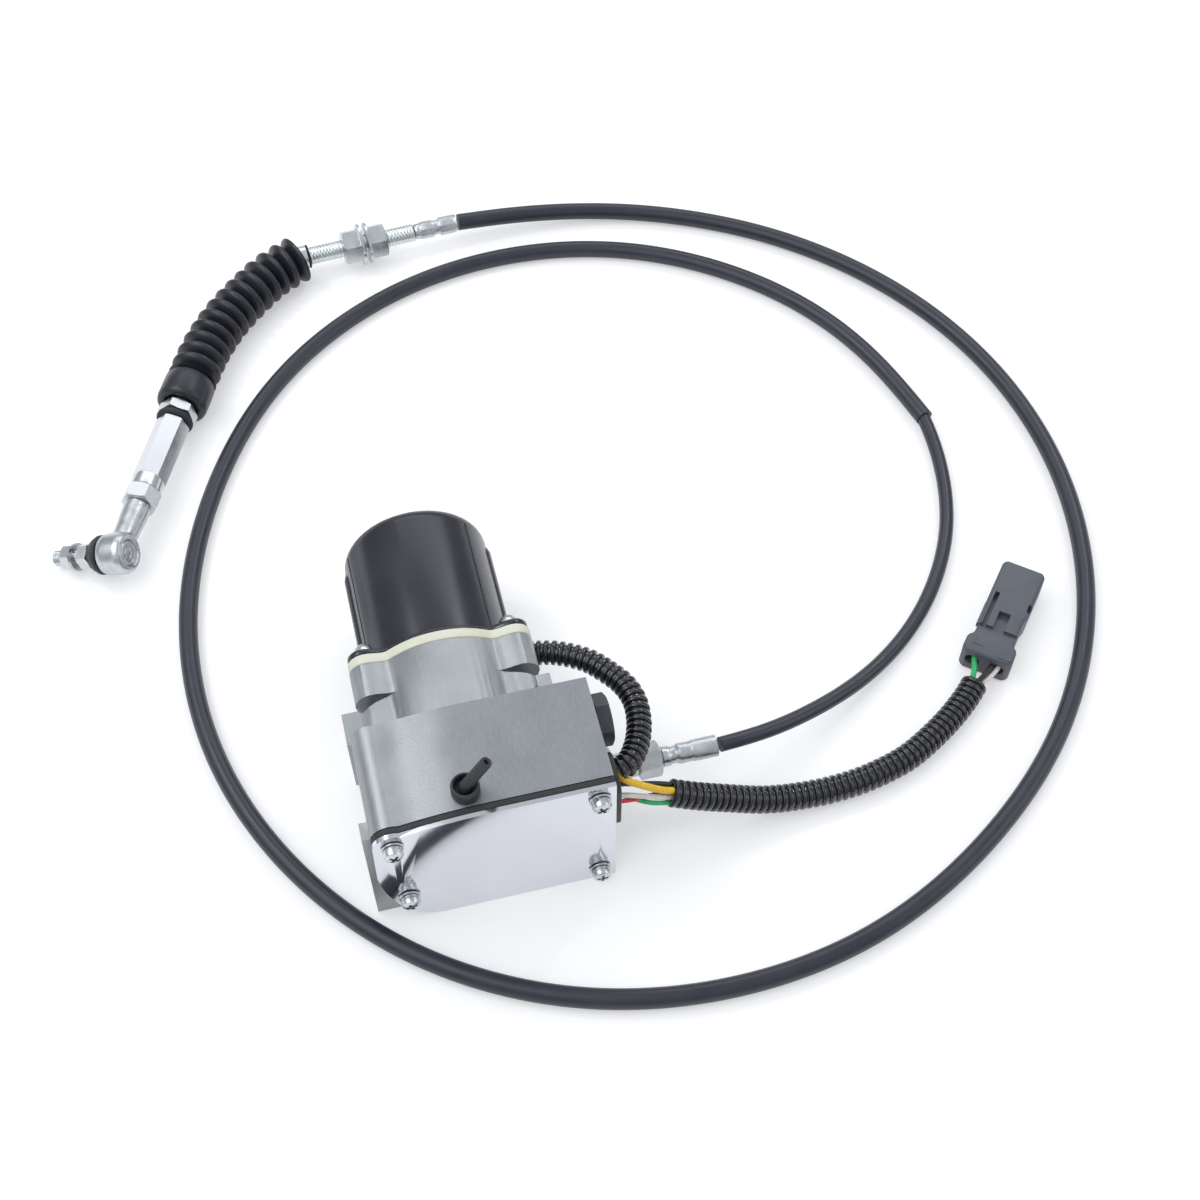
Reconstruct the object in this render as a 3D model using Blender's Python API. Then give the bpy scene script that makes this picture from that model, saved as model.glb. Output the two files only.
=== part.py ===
"""Engine governor actuator, modelled in metres with +Z up.

A direct-current motor drives a planetary gear in a cast housing. The gear's output shaft
carries a slotted lever that pushes and pulls the core of a control cable. At the far end
of the cable a ball-joint rod end, protected by rubber bellows, moves the throttle lever.

The origin is on the flat underside of the housing, below the motor axis and half way
along the block. +X points out through the cable side, +Y runs back along the motor.
"""

import math

import bmesh
import bpy
from mathutils import Matrix, Vector

MM = 0.001
CONTACT_GAP = 0.3 * MM
RUNNING_GAP = 0.2 * MM

# Housing block, seen from the front: a flat-bottomed D with a screw lobe at its upper left
HOUSING_HEIGHT = 79 * MM
BLOCK_RIGHT = 56 * MM
BLOCK_LEFT = 45 * MM
BLOCK_DEPTH = 48 * MM
TOP_FLAT_LEFT = 12 * MM
BOTTOM_FLAT_LEFT = 20 * MM
WALL = 5 * MM
COMPARTMENT_DEPTH = BLOCK_DEPTH - WALL
COMPARTMENT_TOP_WALL = 7 * MM
COMPARTMENT_RADIUS = 33.5 * MM
COMPARTMENT_ROUND_X = -5 * MM
COVER_LOBE_RADIUS = 8 * MM
SCREW_BOSS_RADIUS = 6 * MM
SCREW_BOSS_DEPTH = 18 * MM
CORNER_SCREW_INSET = 7 * MM
UPPER_SCREW_INSET = 8 * MM
LOWER_SCREW_INSET = 9 * MM
UPPER_LEFT_SCREW = (-36.5 * MM, HOUSING_HEIGHT - 10.5 * MM)
LOWER_LEFT_SCREW = (-33.5 * MM, 22.5 * MM)

# Motor axis and the neck that carries the motor
AXIS_HEIGHT = 39.5 * MM
NECK_LENGTH = 34 * MM
NECK_RADIUS = 35 * MM
LOBE_DISC_RADIUS = 37.5 * MM
LOBE_RADIUS = 8 * MM
LOBE_DEPTH = 16 * MM
CAN_SCREW_X = 32 * MM
CAN_SCREW_Z = 23.5 * MM
SPACER_THICKNESS = 4.7 * MM
SPACER_BORE_CLEARANCE = 0.4 * MM

# Mounting ears on the left, with threaded pads facing left
EAR_LEFT = 48 * MM
FRONT_EAR_SETBACK = 1.5 * MM
FRONT_EAR_DEPTH = 8 * MM
FRONT_EAR_HEIGHT = 67 * MM
FRONT_EAR_WIDTH = 17 * MM
REAR_EAR_START = 17 * MM
REAR_EAR_DEPTH = 16 * MM
REAR_EAR_HEIGHT = 36 * MM
REAR_EAR_WIDTH = 18 * MM
PAD_HOLE_RADIUS = 2.5 * MM
PAD_HOLE_DEPTH = 9 * MM
PAD_HOLE_EDGE = 12 * MM
RIB_X = 36 * MM
RIB_WIDTH = 6 * MM
RIB_DEPTH = 7 * MM
RIB_HEIGHT = HOUSING_HEIGHT - 2 * MM

# Gasket, cover and cover screws
GASKET_THICKNESS = 2.5 * MM
COVER_THICKNESS = 2 * MM
COVER_SCREW_RADIUS = 2.5 * MM
COVER_SCREW_CLEARANCE = 0.4 * MM
COVER_SCREW_LENGTH = 18 * MM
WASHER_RADIUS = 5 * MM
WASHER_THICKNESS = 1 * MM
SPRING_WASHER_RADIUS = 4.3 * MM
SPRING_WASHER_THICKNESS = 1.5 * MM
SCREW_HEAD_RADIUS = 4.5 * MM
SCREW_HEAD_HEIGHT = 3.3 * MM

# Motor can and what turns in it
CAN_RADIUS = 33 * MM
CAN_WALL = 2 * MM
CAN_LENGTH = 72.7 * MM
CAN_ROUNDING = 8 * MM
CAN_FLANGE_THICKNESS = 3 * MM
CAN_RIB_RADIUS = 4 * MM
CAN_RIB_ANGLE = 8
CAN_RIB_END = 11 * MM
CAN_SCREW_HEAD_RADIUS = 4 * MM
CAN_SCREW_HEAD_HEIGHT = 3.5 * MM
CAN_SCREW_RADIUS = 2 * MM
CAN_SCREW_CLEARANCE = 0.4 * MM
CAN_SCREW_LENGTH = 18 * MM
SHAFT_RADIUS = 4 * MM
BEARING_WIDTH = 7 * MM
BEARING_RADIUS = 9 * MM
END_PLATE_THICKNESS = 4 * MM
END_PLATE_NOSE_RADIUS = 12 * MM
END_PLATE_NOSE_LENGTH = 6.3 * MM
MAGNET_THICKNESS = 5.4 * MM
MAGNET_ANGLE = 130
MAGNET_OVERHANG = 4 * MM
AIR_GAP = 1 * MM
CORE_LENGTH = CAN_LENGTH - 40.7 * MM
MAGNET_LENGTH = CORE_LENGTH + 2 * MAGNET_OVERHANG
SLOT_COUNT = 12
SLOT_WIDTH = 4.4 * MM
SLOT_DEPTH = 7.5 * MM
WINDING_OVERHANG = 6.5 * MM
WINDING_WALL = 13 * MM
COMMUTATOR_RADIUS = 11 * MM
COMMUTATOR_LENGTH = 9.5 * MM
BRUSH_LENGTH = 9 * MM
BRUSH_WIDTH = 6 * MM
BRUSH_HEIGHT = 6 * MM

# Planetary gear: the sun is on the motor shaft and the ring is fixed in the neck
MODULE = 1 * MM
SUN_TEETH = 12
PLANET_TEETH = 21
RING_TEETH = SUN_TEETH + 2 * PLANET_TEETH
PLANET_COUNT = 3
PRESSURE_ANGLE = math.radians(20)
ADDENDUM = 0.8
DEDENDUM = 1.0
FLANK_PLAY = 0.12
GEAR_WIDTH = 9.5 * MM
RING_WIDTH = 14.4 * MM
RING_OUTER_RADIUS = 30 * MM
CARRIER_THICKNESS = 4 * MM
PLANET_PIN_RADIUS = 2.5 * MM
OUTPUT_SHAFT_RADIUS = 6 * MM
OUTPUT_BUSH_RADIUS = 10 * MM
OUTPUT_BUSH_LENGTH = 18 * MM

# Lever, cable clevis and the line that the cable core moves along
CABLE_Y = BLOCK_DEPTH / 2 - 15 * MM
CABLE_Z = 24 * MM
LEVER_THICKNESS = 5 * MM
LEVER_HUB_RADIUS = 9.5 * MM
LEVER_HUB_LENGTH = 10 * MM
LEVER_TIP_RADIUS = 6.5 * MM
LEVER_SWING = math.radians(40)
CLEVIS_PIN_RADIUS = 2.5 * MM
PIN_SLOT_PLAY = 1.1 * MM
CLEVIS_CHEEK = 3.2 * MM
CLEVIS_HALF_HEIGHT = 5 * MM
CLEVIS_THROAT = 18 * MM
CLEVIS_NOSE = 6 * MM
CLEVIS_BACK = 5 * MM
CORE_ROD_RADIUS = 2.6 * MM
CORE_ROD_END = 94 * MM

# Position sensor on two posts in front of the output shaft
SENSOR_RADIUS = 14 * MM
SENSOR_DEPTH = 13 * MM
SENSOR_EAR_THICKNESS = 3 * MM
SENSOR_EAR_RADIUS = 5 * MM
SENSOR_POST_X = 23 * MM
SENSOR_POST_Z = 47 * MM
SENSOR_POST_RADIUS = 4.5 * MM
SENSOR_FRONT_SPACE = 6 * MM
SENSOR_TANG_RADIUS = 3 * MM
SENSOR_TANG_DEPTH = 7 * MM

# Cable fitting and ferrule on the right face
FITTING_THREAD_RADIUS = 6.5 * MM
FITTING_FLANGE_AF = 19 * MM
FITTING_FLANGE_LENGTH = 8 * MM
FITTING_BARREL_RADIUS = 6 * MM
FITTING_NUT_AF = 14 * MM
FITTING_NUT_START = 19 * MM
FITTING_NUT_LENGTH = 10.5 * MM
FITTING_LENGTH = 30 * MM
FITTING_BORE_RADIUS = 3.2 * MM
FERRULE_LENGTH = 26 * MM
SHEATH_DIAMETER = 7 * MM
SLEEVE_DIAMETER = 9 * MM

# Side plug, grommet and breather
PLUG_Y = 12 * MM
PLUG_Z = 62 * MM
PLUG_AF = 20 * MM
PLUG_THICKNESS = 5 * MM
PLUG_FLANGE_RADIUS = 10.6 * MM
PLUG_FLANGE_THICKNESS = 1 * MM
PLUG_THREAD_RADIUS = 7.5 * MM
GROMMET_Y = -13 * MM
GROMMET_Z = 47.5 * MM
GROMMET_WIDTH = 20 * MM
GROMMET_HEIGHT = 35 * MM
GROMMET_PROUD = 3.7 * MM
GROMMET_NECK_WIDTH = 12 * MM
GROMMET_NECK_HEIGHT = 26 * MM
BREATHER_X = -3.5 * MM
BREATHER_Y = -17 * MM
BREATHER_CUP_RADIUS = 6 * MM
BREATHER_CUP_HEIGHT = 5.5 * MM
BREATHER_CUP_BORE = 4.6 * MM
BREATHER_CUP_FLOOR = 1.2 * MM
BREATHER_TUBE_RADIUS = 2.5 * MM
BREATHER_TUBE_BORE = 1.1 * MM
BREATHER_ELBOW_RISE = 4.6 * MM
BREATHER_TIP = (9.8 * MM, 0.4 * MM, 19 * MM)

# Far end of the cable: a threaded tube clamped in a bracket by two nuts
FAR_POINT = Vector((9.6 * MM, 366.2 * MM, 12.9 * MM))
FAR_DIRECTION = Vector((-0.996, -0.0870, 0.012)).normalized()
TUBE_RADIUS = 4.9 * MM
TUBE_BORE = 2.8 * MM
TUBE_START = -31.7 * MM
TUBE_END = 37 * MM
BRACKET_PLANE = -3.7 * MM
CLAMP_GAP = 2.1 * MM
FAR_FERRULE_LENGTH = 24.3 * MM
JAM_NUT_AF = 17 * MM
JAM_NUT_THICKNESS = 9.3 * MM
BRACKET_WASHER_RADIUS = 11.3 * MM
BRACKET_WASHER_THICKNESS = 1.7 * MM
COLLAR_START = 28 * MM
COLLAR_RADIUS = 6.3 * MM
COLLAR_LENGTH = 5 * MM

# Bellows and the rod that slides out of it
CONVOLUTIONS = 13
BOOT_RADIUS = 13 * MM
BOOT_VALLEY_RADIUS = 9.2 * MM
BOOT_WALL = 1.6 * MM
BOOT_ROUTE_MM = (
    (-24.6, 363.2, 13.3),
    (-38.7, 355.0, 13.3),
    (-51.7, 344.0, 13.3),
    (-67.4, 327.6, 13.3),
    (-80.3, 308.6, 13.4),
    (-89.9, 289.0, 13.5),
)
ROD_POINT = Vector((-89.9 * MM, 289.0 * MM, 13.5 * MM))
ROD_DIRECTION = Vector((-0.4123, -0.9108, 0.0218)).normalized()
CUFF_LENGTH = 19.2 * MM
ROD_NUT_START = 20.5 * MM
ROD_NUT_AF = 17 * MM
ROD_NUT_THICKNESS = 5.8 * MM
SEAL_RING_RADIUS = 9.5 * MM
SEAL_RING_THICKNESS = 3.6 * MM
COUPLING_AF = 14.7 * MM
COUPLING_TURN = math.radians(16)
COUPLING_START = 30.5 * MM
COUPLING_LENGTH = 45.1 * MM
COUPLING_COLLAR_RADIUS = 8 * MM
COUPLING_COLLAR_LENGTH = 6.4 * MM
LOCK_NUT_AF = 16 * MM
LOCK_NUT_THICKNESS = 8.7 * MM
SHANK_RADIUS = 6.7 * MM
EYE_DISTANCE = 114.9 * MM
EYE_RADIUS = 10.3 * MM
EYE_HALF_WIDTH = 7.2 * MM
THREAD_RADIUS = 4 * MM
BALL_RADIUS = 6.4 * MM
CORE_RADIUS = 1.9 * MM

# Ball stud, pointing left and a little down
STUD_DIRECTION = Vector((-0.865, 0.3764, -0.330)).normalized()
STUD_RADIUS = 3.9 * MM
STUD_LENGTH = 36 * MM
STUD_HEX_AF = 11.5 * MM
STUD_HEX_START = 14.2 * MM
STUD_HEX_LENGTH = 6 * MM
STUD_WASHER_RADIUS = 6.8 * MM
STUD_WASHER_THICKNESS = 2 * MM
STUD_NUT_AF = 11 * MM
STUD_NUT_THICKNESS = 5.4 * MM
SEAL_RADIUS = 9.6 * MM
SEAL_TIP_RADIUS = 5.8 * MM
SEAL_HEIGHT = 6.4 * MM

# Cords, as points in millimetres that a smooth curve runs through
SLEEVE_ROUTE_MM = (
    (66.6, 371.2, 12.2),
    (92.0, 373.2, 10.5),
    (121.5, 372.0, 7.6),
    (148.5, 368.6, 5.4),
    (174.4, 361.5, 4.6),
    (234.1, 329.3, 4.6),
    (286.9, 275.5, 4.6),
    (320.4, 206.1, 4.6),
    (328.8, 127.8, 4.6),
    (310.8, 51.3, 4.6),
    (271.3, -12.2, 4.6),
    (217.5, -57.2, 4.6),
    (160.3, -86.0, 4.6),
    (103.4, -95.6, 4.6),
    (48.2, -91.0, 4.6),
    (-3.4, -72.0, 4.6),
    (-49.2, -38.2, 4.6),
    (-86.0, 10.8, 4.6),
    (-109.3, 73.8, 4.6),
    (-111.4, 147.2, 4.6),
    (-89.4, 221.8, 4.6),
    (-46.4, 288.9, 4.6),
    (18.3, 333.7, 4.6),
    (90.9, 348.4, 4.6),
    (162.4, 333.6, 4.6),
    (222.8, 290.9, 4.6),
    (257.8, 239.1, 4.6),
    (268.9, 200.6, 4.6),
    (272.4, 188.2, 4.6),
    (273.5, 180.6, 4.6),
)
SHEATH_ROUTE_MM = (
    (273.7, 179.2, 4.6),
    (273.9, 173.0, 4.3),
    (272.8, 161.8, 3.7),
    (270.1, 141.8, 3.6),
    (261.5, 112.9, 3.6),
    (247.3, 87.0, 3.6),
    (229.4, 65.0, 3.6),
    (208.5, 47.0, 4.6),
    (185.4, 32.6, 8.0),
    (161.3, 21.5, 13.5),
    (140.0, 13.6, 19.0),
    (126.0, 10.2, 22.6),
    (113.2, CABLE_Y / MM, CABLE_Z / MM),
)
LEAD_ROUTE_MM = (
    (38.6, 61.0, 48.0),
    (50.9, 57.0, 49.5),
    (62.3, 50.2, 50.0),
    (69.8, 42.1, 50.0),
    (75.3, 33.8, 50.0),
    (77.8, 24.8, 50.0),
    (77.2, 15.4, 50.0),
    (74.6, 7.0, 50.5),
    (71.6, 0.6, 51.3),
    (68.4, -4.4, 52.2),
    (64.4, -7.2, 52.8),
)
HARNESS_ROUTE_MM = (
    (84.1, -12.0, 30.0),
    (95.7, -13.8, 25.0),
    (111.2, -14.9, 18.0),
    (127.2, -16.2, 12.0),
    (143.4, -16.2, 8.0),
    (159.9, -15.8, 6.6),
    (176.6, -14.0, 6.5),
    (194.5, -9.4, 6.5),
    (207.7, -3.2, 6.5),
    (222.1, 5.7, 6.5),
    (233.5, 14.5, 6.5),
    (240.6, 21.2, 6.9),
)
WIRES_ROUTE_MM = (
    (61.0, -12.4, 40.0),
    (67.0, -12.3, 38.6),
    (75.0, -12.0, 34.8),
    (83.2, -11.95, 30.7),
)
CONNECTOR_WIRES_ROUTE_MM = (
    (241.2, 21.8, 6.95),
    (244.0, 24.9, 7.5),
    (247.2, 28.4, 8.0),
)
CONDUIT_DIAMETER = 12.5 * MM
WIRE_BUNDLE_DIAMETER = 7.5 * MM
CORD_POINT_SPACING = 2.9

# Connector at the end of the harness, lying flat
CONNECTOR_REAR = Vector((247.6 * MM, 28.8 * MM, 8.2 * MM))
CONNECTOR_DIRECTION = Vector((0.642, 0.767, 0.0)).normalized()
CONNECTOR_LENGTH = 57 * MM
CONNECTOR_WIDTH = 21 * MM
CONNECTOR_HEIGHT = 15.6 * MM
CONNECTOR_WALL = 1.8 * MM
CONNECTOR_MOUTH_DEPTH = 20 * MM
CONNECTOR_REAR_WIDTH = 24 * MM
CONNECTOR_REAR_LENGTH = 11 * MM
CONNECTOR_CORNER = 1.2 * MM
CONNECTOR_NOTCH_WIDTH = 6 * MM
CONNECTOR_NOTCH_LENGTH = 11 * MM
CONNECTOR_NOTCH_DEPTH = 2.2 * MM
CONNECTOR_PIN_RADIUS = 0.8 * MM

# Places worked out from the sizes above
FRONT = -BLOCK_DEPTH / 2
BACK = BLOCK_DEPTH / 2
NECK_END = BACK + NECK_LENGTH
COMPARTMENT_FLOOR = FRONT + COMPARTMENT_DEPTH
GASKET_BACK = FRONT - CONTACT_GAP
GASKET_FRONT = GASKET_BACK - GASKET_THICKNESS
COVER_BACK = GASKET_FRONT - CONTACT_GAP
COVER_FRONT = COVER_BACK - COVER_THICKNESS
SPACER_FRONT = NECK_END + CONTACT_GAP
SPACER_BACK = SPACER_FRONT + SPACER_THICKNESS
CAN_FRONT = SPACER_BACK + CONTACT_GAP
CAN_INNER_RADIUS = CAN_RADIUS - CAN_WALL
END_PLATE_BACK = CAN_FRONT + CONTACT_GAP + END_PLATE_THICKNESS
RING_FRONT = NECK_END - CONTACT_GAP - RING_WIDTH
RING_SEAT = RING_FRONT - CONTACT_GAP
CARRIER_RECESS_FLOOR = RING_SEAT - CARRIER_THICKNESS - 1 * MM
CARRIER_FRONT = CARRIER_RECESS_FLOOR + 0.8 * MM
CARRIER_BACK = CARRIER_FRONT + CARRIER_THICKNESS
PLANET_FRONT = CARRIER_BACK + 0.8 * MM
SUN_RADIUS = MODULE * SUN_TEETH / 2
PLANET_RADIUS = MODULE * PLANET_TEETH / 2
RING_RADIUS = MODULE * RING_TEETH / 2
ORBIT_RADIUS = SUN_RADIUS + PLANET_RADIUS
COMMUTATOR_FRONT = END_PLATE_BACK + 2.2 * MM
CORE_FRONT = COMMUTATOR_FRONT + COMMUTATOR_LENGTH + WINDING_OVERHANG + 0.8 * MM
CORE_RADIUS_ARMATURE = CAN_INNER_RADIUS - CONTACT_GAP - MAGNET_THICKNESS - AIR_GAP
PIN_DROP = AXIS_HEIGHT - CABLE_Z
RIGHT_SCREWS_X = BLOCK_RIGHT - CORNER_SCREW_INSET
COVER_SCREW_SPOTS = (
    (RIGHT_SCREWS_X, HOUSING_HEIGHT - UPPER_SCREW_INSET),
    (RIGHT_SCREWS_X, LOWER_SCREW_INSET),
    UPPER_LEFT_SCREW,
    LOWER_LEFT_SCREW,
)
CAN_SCREW_SPOTS = tuple(
    (side * CAN_SCREW_X, AXIS_HEIGHT + level * CAN_SCREW_Z)
    for side in (-1, 1)
    for level in (-1, 1)
)
FITTING_END = BLOCK_RIGHT + FITTING_LENGTH
FERRULE_START = FITTING_END + CONTACT_GAP
SENSOR_FRONT = FRONT + SENSOR_FRONT_SPACE
SENSOR_BACK = SENSOR_FRONT + SENSOR_DEPTH
X_AXIS = Vector((1, 0, 0))
Z_AXIS = Vector((0, 0, 1))


def clear_scene():
    for obj in list(bpy.data.objects):
        bpy.data.objects.remove(obj, do_unlink=True)


def paint(name, colour, roughness, metallic):
    """A Principled BSDF material with one plain colour."""
    material = bpy.data.materials.new(name)
    material.use_nodes = True
    shader = material.node_tree.nodes["Principled BSDF"]
    shader.inputs["Base Color"].default_value = (*colour, 1)
    shader.inputs["Roughness"].default_value = roughness
    shader.inputs["Metallic"].default_value = metallic
    return material


def add_object(name, bm, material, matrix=None):
    """Turns a bmesh into an object, with its faces outwards and its round sides smooth."""
    bmesh.ops.remove_doubles(bm, verts=bm.verts, dist=1e-7)
    bmesh.ops.recalc_face_normals(bm, faces=bm.faces)
    mesh = bpy.data.meshes.new(name)
    bm.to_mesh(mesh)
    bm.free()
    mesh.materials.append(material)
    mesh.shade_smooth()
    mesh.set_sharp_from_angle(angle=math.radians(38))
    obj = bpy.data.objects.new(name, mesh)
    bpy.context.scene.collection.objects.link(obj)
    if matrix is not None:
        obj.matrix_world = matrix
    return obj


def axis_frame(origin, direction, upward=Z_AXIS):
    """A frame at origin with its Z along direction and its X as near to upward as it can be."""
    z = Vector(direction).normalized()
    x = (upward - z * upward.dot(z)).normalized()
    y = z.cross(x)
    matrix = Matrix((x, y, z)).transposed().to_4x4()
    matrix.translation = origin
    return matrix


def motor_frame(y, x=0.0, z=AXIS_HEIGHT):
    """Z runs back along +Y, X stays level to the right and Y points down."""
    return Matrix.Translation((x, y, z)) @ Matrix.Rotation(-math.pi / 2, 4, "X")


def front_frame(y):
    """X runs right, Y up and Z towards the front, from the plane at y."""
    return Matrix.Translation((0, y, 0)) @ Matrix.Rotation(math.pi / 2, 4, "X")


def side_frame(y, z, x=BLOCK_RIGHT):
    """Z points out of the block's right face and X upwards."""
    return axis_frame(Vector((x, y, z)), X_AXIS)


def turned(name, profile, material, matrix=None, sides=32, closed=False):
    """A profile of (radius, height) points spun about Z. A closed one makes a ring."""
    bm = bmesh.new()
    corners = [bm.verts.new((radius, 0, height)) for radius, height in profile]
    edges = [bm.edges.new(pair) for pair in zip(corners, corners[1:])]
    if closed:
        edges.append(bm.edges.new((corners[-1], corners[0])))
    bmesh.ops.spin(
        bm,
        geom=corners + edges,
        cent=(0, 0, 0),
        axis=(0, 0, 1),
        angle=2 * math.pi,
        steps=sides,
        use_merge=True,
    )
    return add_object(name, bm, material, matrix)


def tube_profile(inner, outer, start, end):
    return [(inner, start), (outer, start), (outer, end), (inner, end)]


def rod_profile(radius, start, end):
    return [(0, start), (radius, start), (radius, end), (0, end)]


def prism(name, outline, depth, material, matrix=None):
    """An outline in the XY plane pushed out along Z."""
    bm = bmesh.new()
    face = bm.faces.new([bm.verts.new((x, y, 0)) for x, y in outline])
    grown = bmesh.ops.extrude_face_region(bm, geom=[face])
    moved = [item for item in grown["geom"] if isinstance(item, bmesh.types.BMVert)]
    bmesh.ops.translate(bm, verts=moved, vec=(0, 0, depth))
    return add_object(name, bm, material, matrix)


def box(name, low, high, material, matrix=None):
    """A box between two corners."""
    outline = [(low[0], low[1]), (high[0], low[1]), (high[0], high[1]), (low[0], high[1])]
    shift = Matrix.Translation((0, 0, low[2]))
    frame = shift if matrix is None else matrix @ shift
    return prism(name, outline, high[2] - low[2], material, frame)


def combine(target, other, operation):
    """Cuts or joins by a Boolean, and hides the other shape."""
    modifier = target.modifiers.new(f"{operation.lower()} {other.name}", "BOOLEAN")
    modifier.operation = operation
    modifier.solver = "EXACT"
    modifier.object = other
    other.hide_render = True
    other.display_type = "WIRE"


def cut(target, *others):
    for other in others:
        combine(target, other, "DIFFERENCE")


def join(target, *others):
    for other in others:
        combine(target, other, "UNION")


def drill(target, radius, matrix, start, end, sides=20):
    """Cuts a round hole along the frame's Z."""
    hole = turned(f"{target.name} hole", rod_profile(radius, start, end), STEEL, matrix, sides)
    cut(target, hole)


def arc_through(first, middle, last, steps):
    """Points of the arc through three points, without its first one."""
    (ax, ay), (bx, by), (cx, cy) = first, middle, last
    d = 2 * (ax * (by - cy) + bx * (cy - ay) + cx * (ay - by))
    squares = (ax * ax + ay * ay, bx * bx + by * by, cx * cx + cy * cy)
    ux = (squares[0] * (by - cy) + squares[1] * (cy - ay) + squares[2] * (ay - by)) / d
    uy = (squares[0] * (cx - bx) + squares[1] * (ax - cx) + squares[2] * (bx - ax)) / d
    radius = math.hypot(ax - ux, ay - uy)
    start = math.atan2(ay - uy, ax - ux)
    turn = math.atan2(cy - uy, cx - ux) - start
    if d > 0:
        turn %= 2 * math.pi
    else:
        turn = -((-turn) % (2 * math.pi))
    angles = [start + turn * step / steps for step in range(1, steps + 1)]
    return [(ux + radius * math.cos(a), uy + radius * math.sin(a)) for a in angles]


def arc_about(centre, radius, start, end, steps):
    """Points of an arc about a centre, with angles in degrees."""
    angles = [math.radians(start + (end - start) * step / steps) for step in range(steps + 1)]
    return [(centre[0] + radius * math.cos(a), centre[1] + radius * math.sin(a)) for a in angles]


def housing_outline():
    """The block's D seen from the front, counter-clockwise from its lower right corner."""
    lobe = arc_about(UPPER_LEFT_SCREW, COVER_LOBE_RADIUS, 62, 176, 7)
    top_left = (TOP_FLAT_LEFT, HOUSING_HEIGHT)
    saddle = lobe[0]
    middle_x = (top_left[0] + saddle[0]) / 2
    shoulder = (middle_x, (top_left[1] + saddle[1]) / 2 + 1.2 * MM)
    waist = (-BLOCK_LEFT, HOUSING_HEIGHT * 0.56)
    flank = (-BLOCK_LEFT * 0.93, HOUSING_HEIGHT * 0.33)
    heel = (-BLOCK_LEFT * 0.79, HOUSING_HEIGHT * 0.135)
    sole = (-BOTTOM_FLAT_LEFT, 0)
    corner_middle = (-BLOCK_LEFT * 0.645, HOUSING_HEIGHT * 0.046)
    outline = [(BLOCK_RIGHT, 0), (BLOCK_RIGHT, HOUSING_HEIGHT), top_left]
    outline += arc_through(top_left, shoulder, saddle, 5)
    outline += lobe[1:]
    outline.append(waist)
    outline += arc_through(waist, flank, heel, 5)
    outline += arc_through(heel, corner_middle, sole, 3)
    return outline


def compartment_outline():
    """The front compartment: rounded on the left, square on the right."""
    top = HOUSING_HEIGHT - COMPARTMENT_TOP_WALL
    middle = (top + WALL) / 2
    radius = min(COMPARTMENT_RADIUS, (top - WALL) / 2)
    right = BLOCK_RIGHT - WALL
    left_round = arc_about((COMPARTMENT_ROUND_X, middle), radius, 90, 270, 20)
    return [(right, middle - radius), (right, middle + radius)] + left_round


def lobed_outline(disc_radius, lobe_radius):
    """A disc with four screw lobes, as the farthest of the circles in each direction."""
    points = []
    steps = 52
    for step in range(steps):
        angle = 2 * math.pi * step / steps
        direction = (math.cos(angle), math.sin(angle))
        reach = disc_radius
        for side in (-1, 1):
            for level in (-1, 1):
                centre = (side * CAN_SCREW_X, level * CAN_SCREW_Z)
                along = centre[0] * direction[0] + centre[1] * direction[1]
                across = centre[0] * direction[1] - centre[1] * direction[0]
                if along > 0 and abs(across) < lobe_radius:
                    reach = max(reach, along + math.sqrt(lobe_radius**2 - across**2))
        points.append((reach * direction[0], reach * direction[1]))
    return points


def rounded_rectangle(width, height, corner, steps=4):
    """An outline about the origin, width along X and height along Y."""
    x = width / 2 - corner
    y = height / 2 - corner
    outline = []
    for centre, start in (((x, y), 0), ((-x, y), 90), ((-x, -y), 180), ((x, -y), 270)):
        outline += arc_about(centre, corner, start, start + 90, steps)
    return outline


def hexagon(across_flats):
    radius = across_flats / math.sqrt(3)
    return arc_about((0, 0), radius, 0, 300, 5)


def hex_nut(name, across_flats, thickness, bore, material, matrix, start=0.0):
    """A nut whose corners are turned down to a cone at both ends."""
    corner = across_flats / math.sqrt(3)
    ease = (corner - across_flats / 2) * 0.6
    frame = matrix @ Matrix.Translation((0, 0, start))
    nut = prism(name, hexagon(across_flats), thickness, material, frame)
    envelope = turned(
        f"{name} envelope",
        [
            (0, 0),
            (corner - ease * 1.6, 0),
            (corner + 0.01 * MM, ease),
            (corner + 0.01 * MM, thickness - ease),
            (corner - ease * 1.6, thickness),
            (0, thickness),
        ],
        material,
        frame,
        12,
    )
    combine(nut, envelope, "INTERSECT")
    if bore:
        drill(nut, bore, frame, -MM, thickness + MM, 12)
    return nut


def involute_angle(radius, base_radius):
    """How far an involute that starts on the base circle has turned at a radius."""
    if radius <= base_radius:
        return 0.0
    pressure = math.acos(base_radius / radius)
    return math.tan(pressure) - pressure


def gear_outline(teeth, tip_radius, root_radius, play, middle_radii=()):
    """Involute teeth round the origin. Tooth 0 is centred on +X, and play widens the gaps."""
    pitch_radius = MODULE * teeth / 2
    base_radius = pitch_radius * math.cos(PRESSURE_ANGLE)
    half_tooth = math.pi / (2 * teeth) - play * MODULE / (2 * pitch_radius)
    half_at_base = half_tooth + involute_angle(pitch_radius, base_radius)
    radii = (root_radius, *middle_radii, tip_radius)
    outline = []
    for tooth in range(teeth):
        centre = 2 * math.pi * tooth / teeth
        halves = [half_at_base - involute_angle(radius, base_radius) for radius in radii]
        flank = list(zip(radii, halves))
        outline += [(r, centre - half) for r, half in flank]
        outline += [(r, centre + half) for r, half in reversed(flank)]
    return [(r * math.cos(a), r * math.sin(a)) for r, a in outline]


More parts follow.
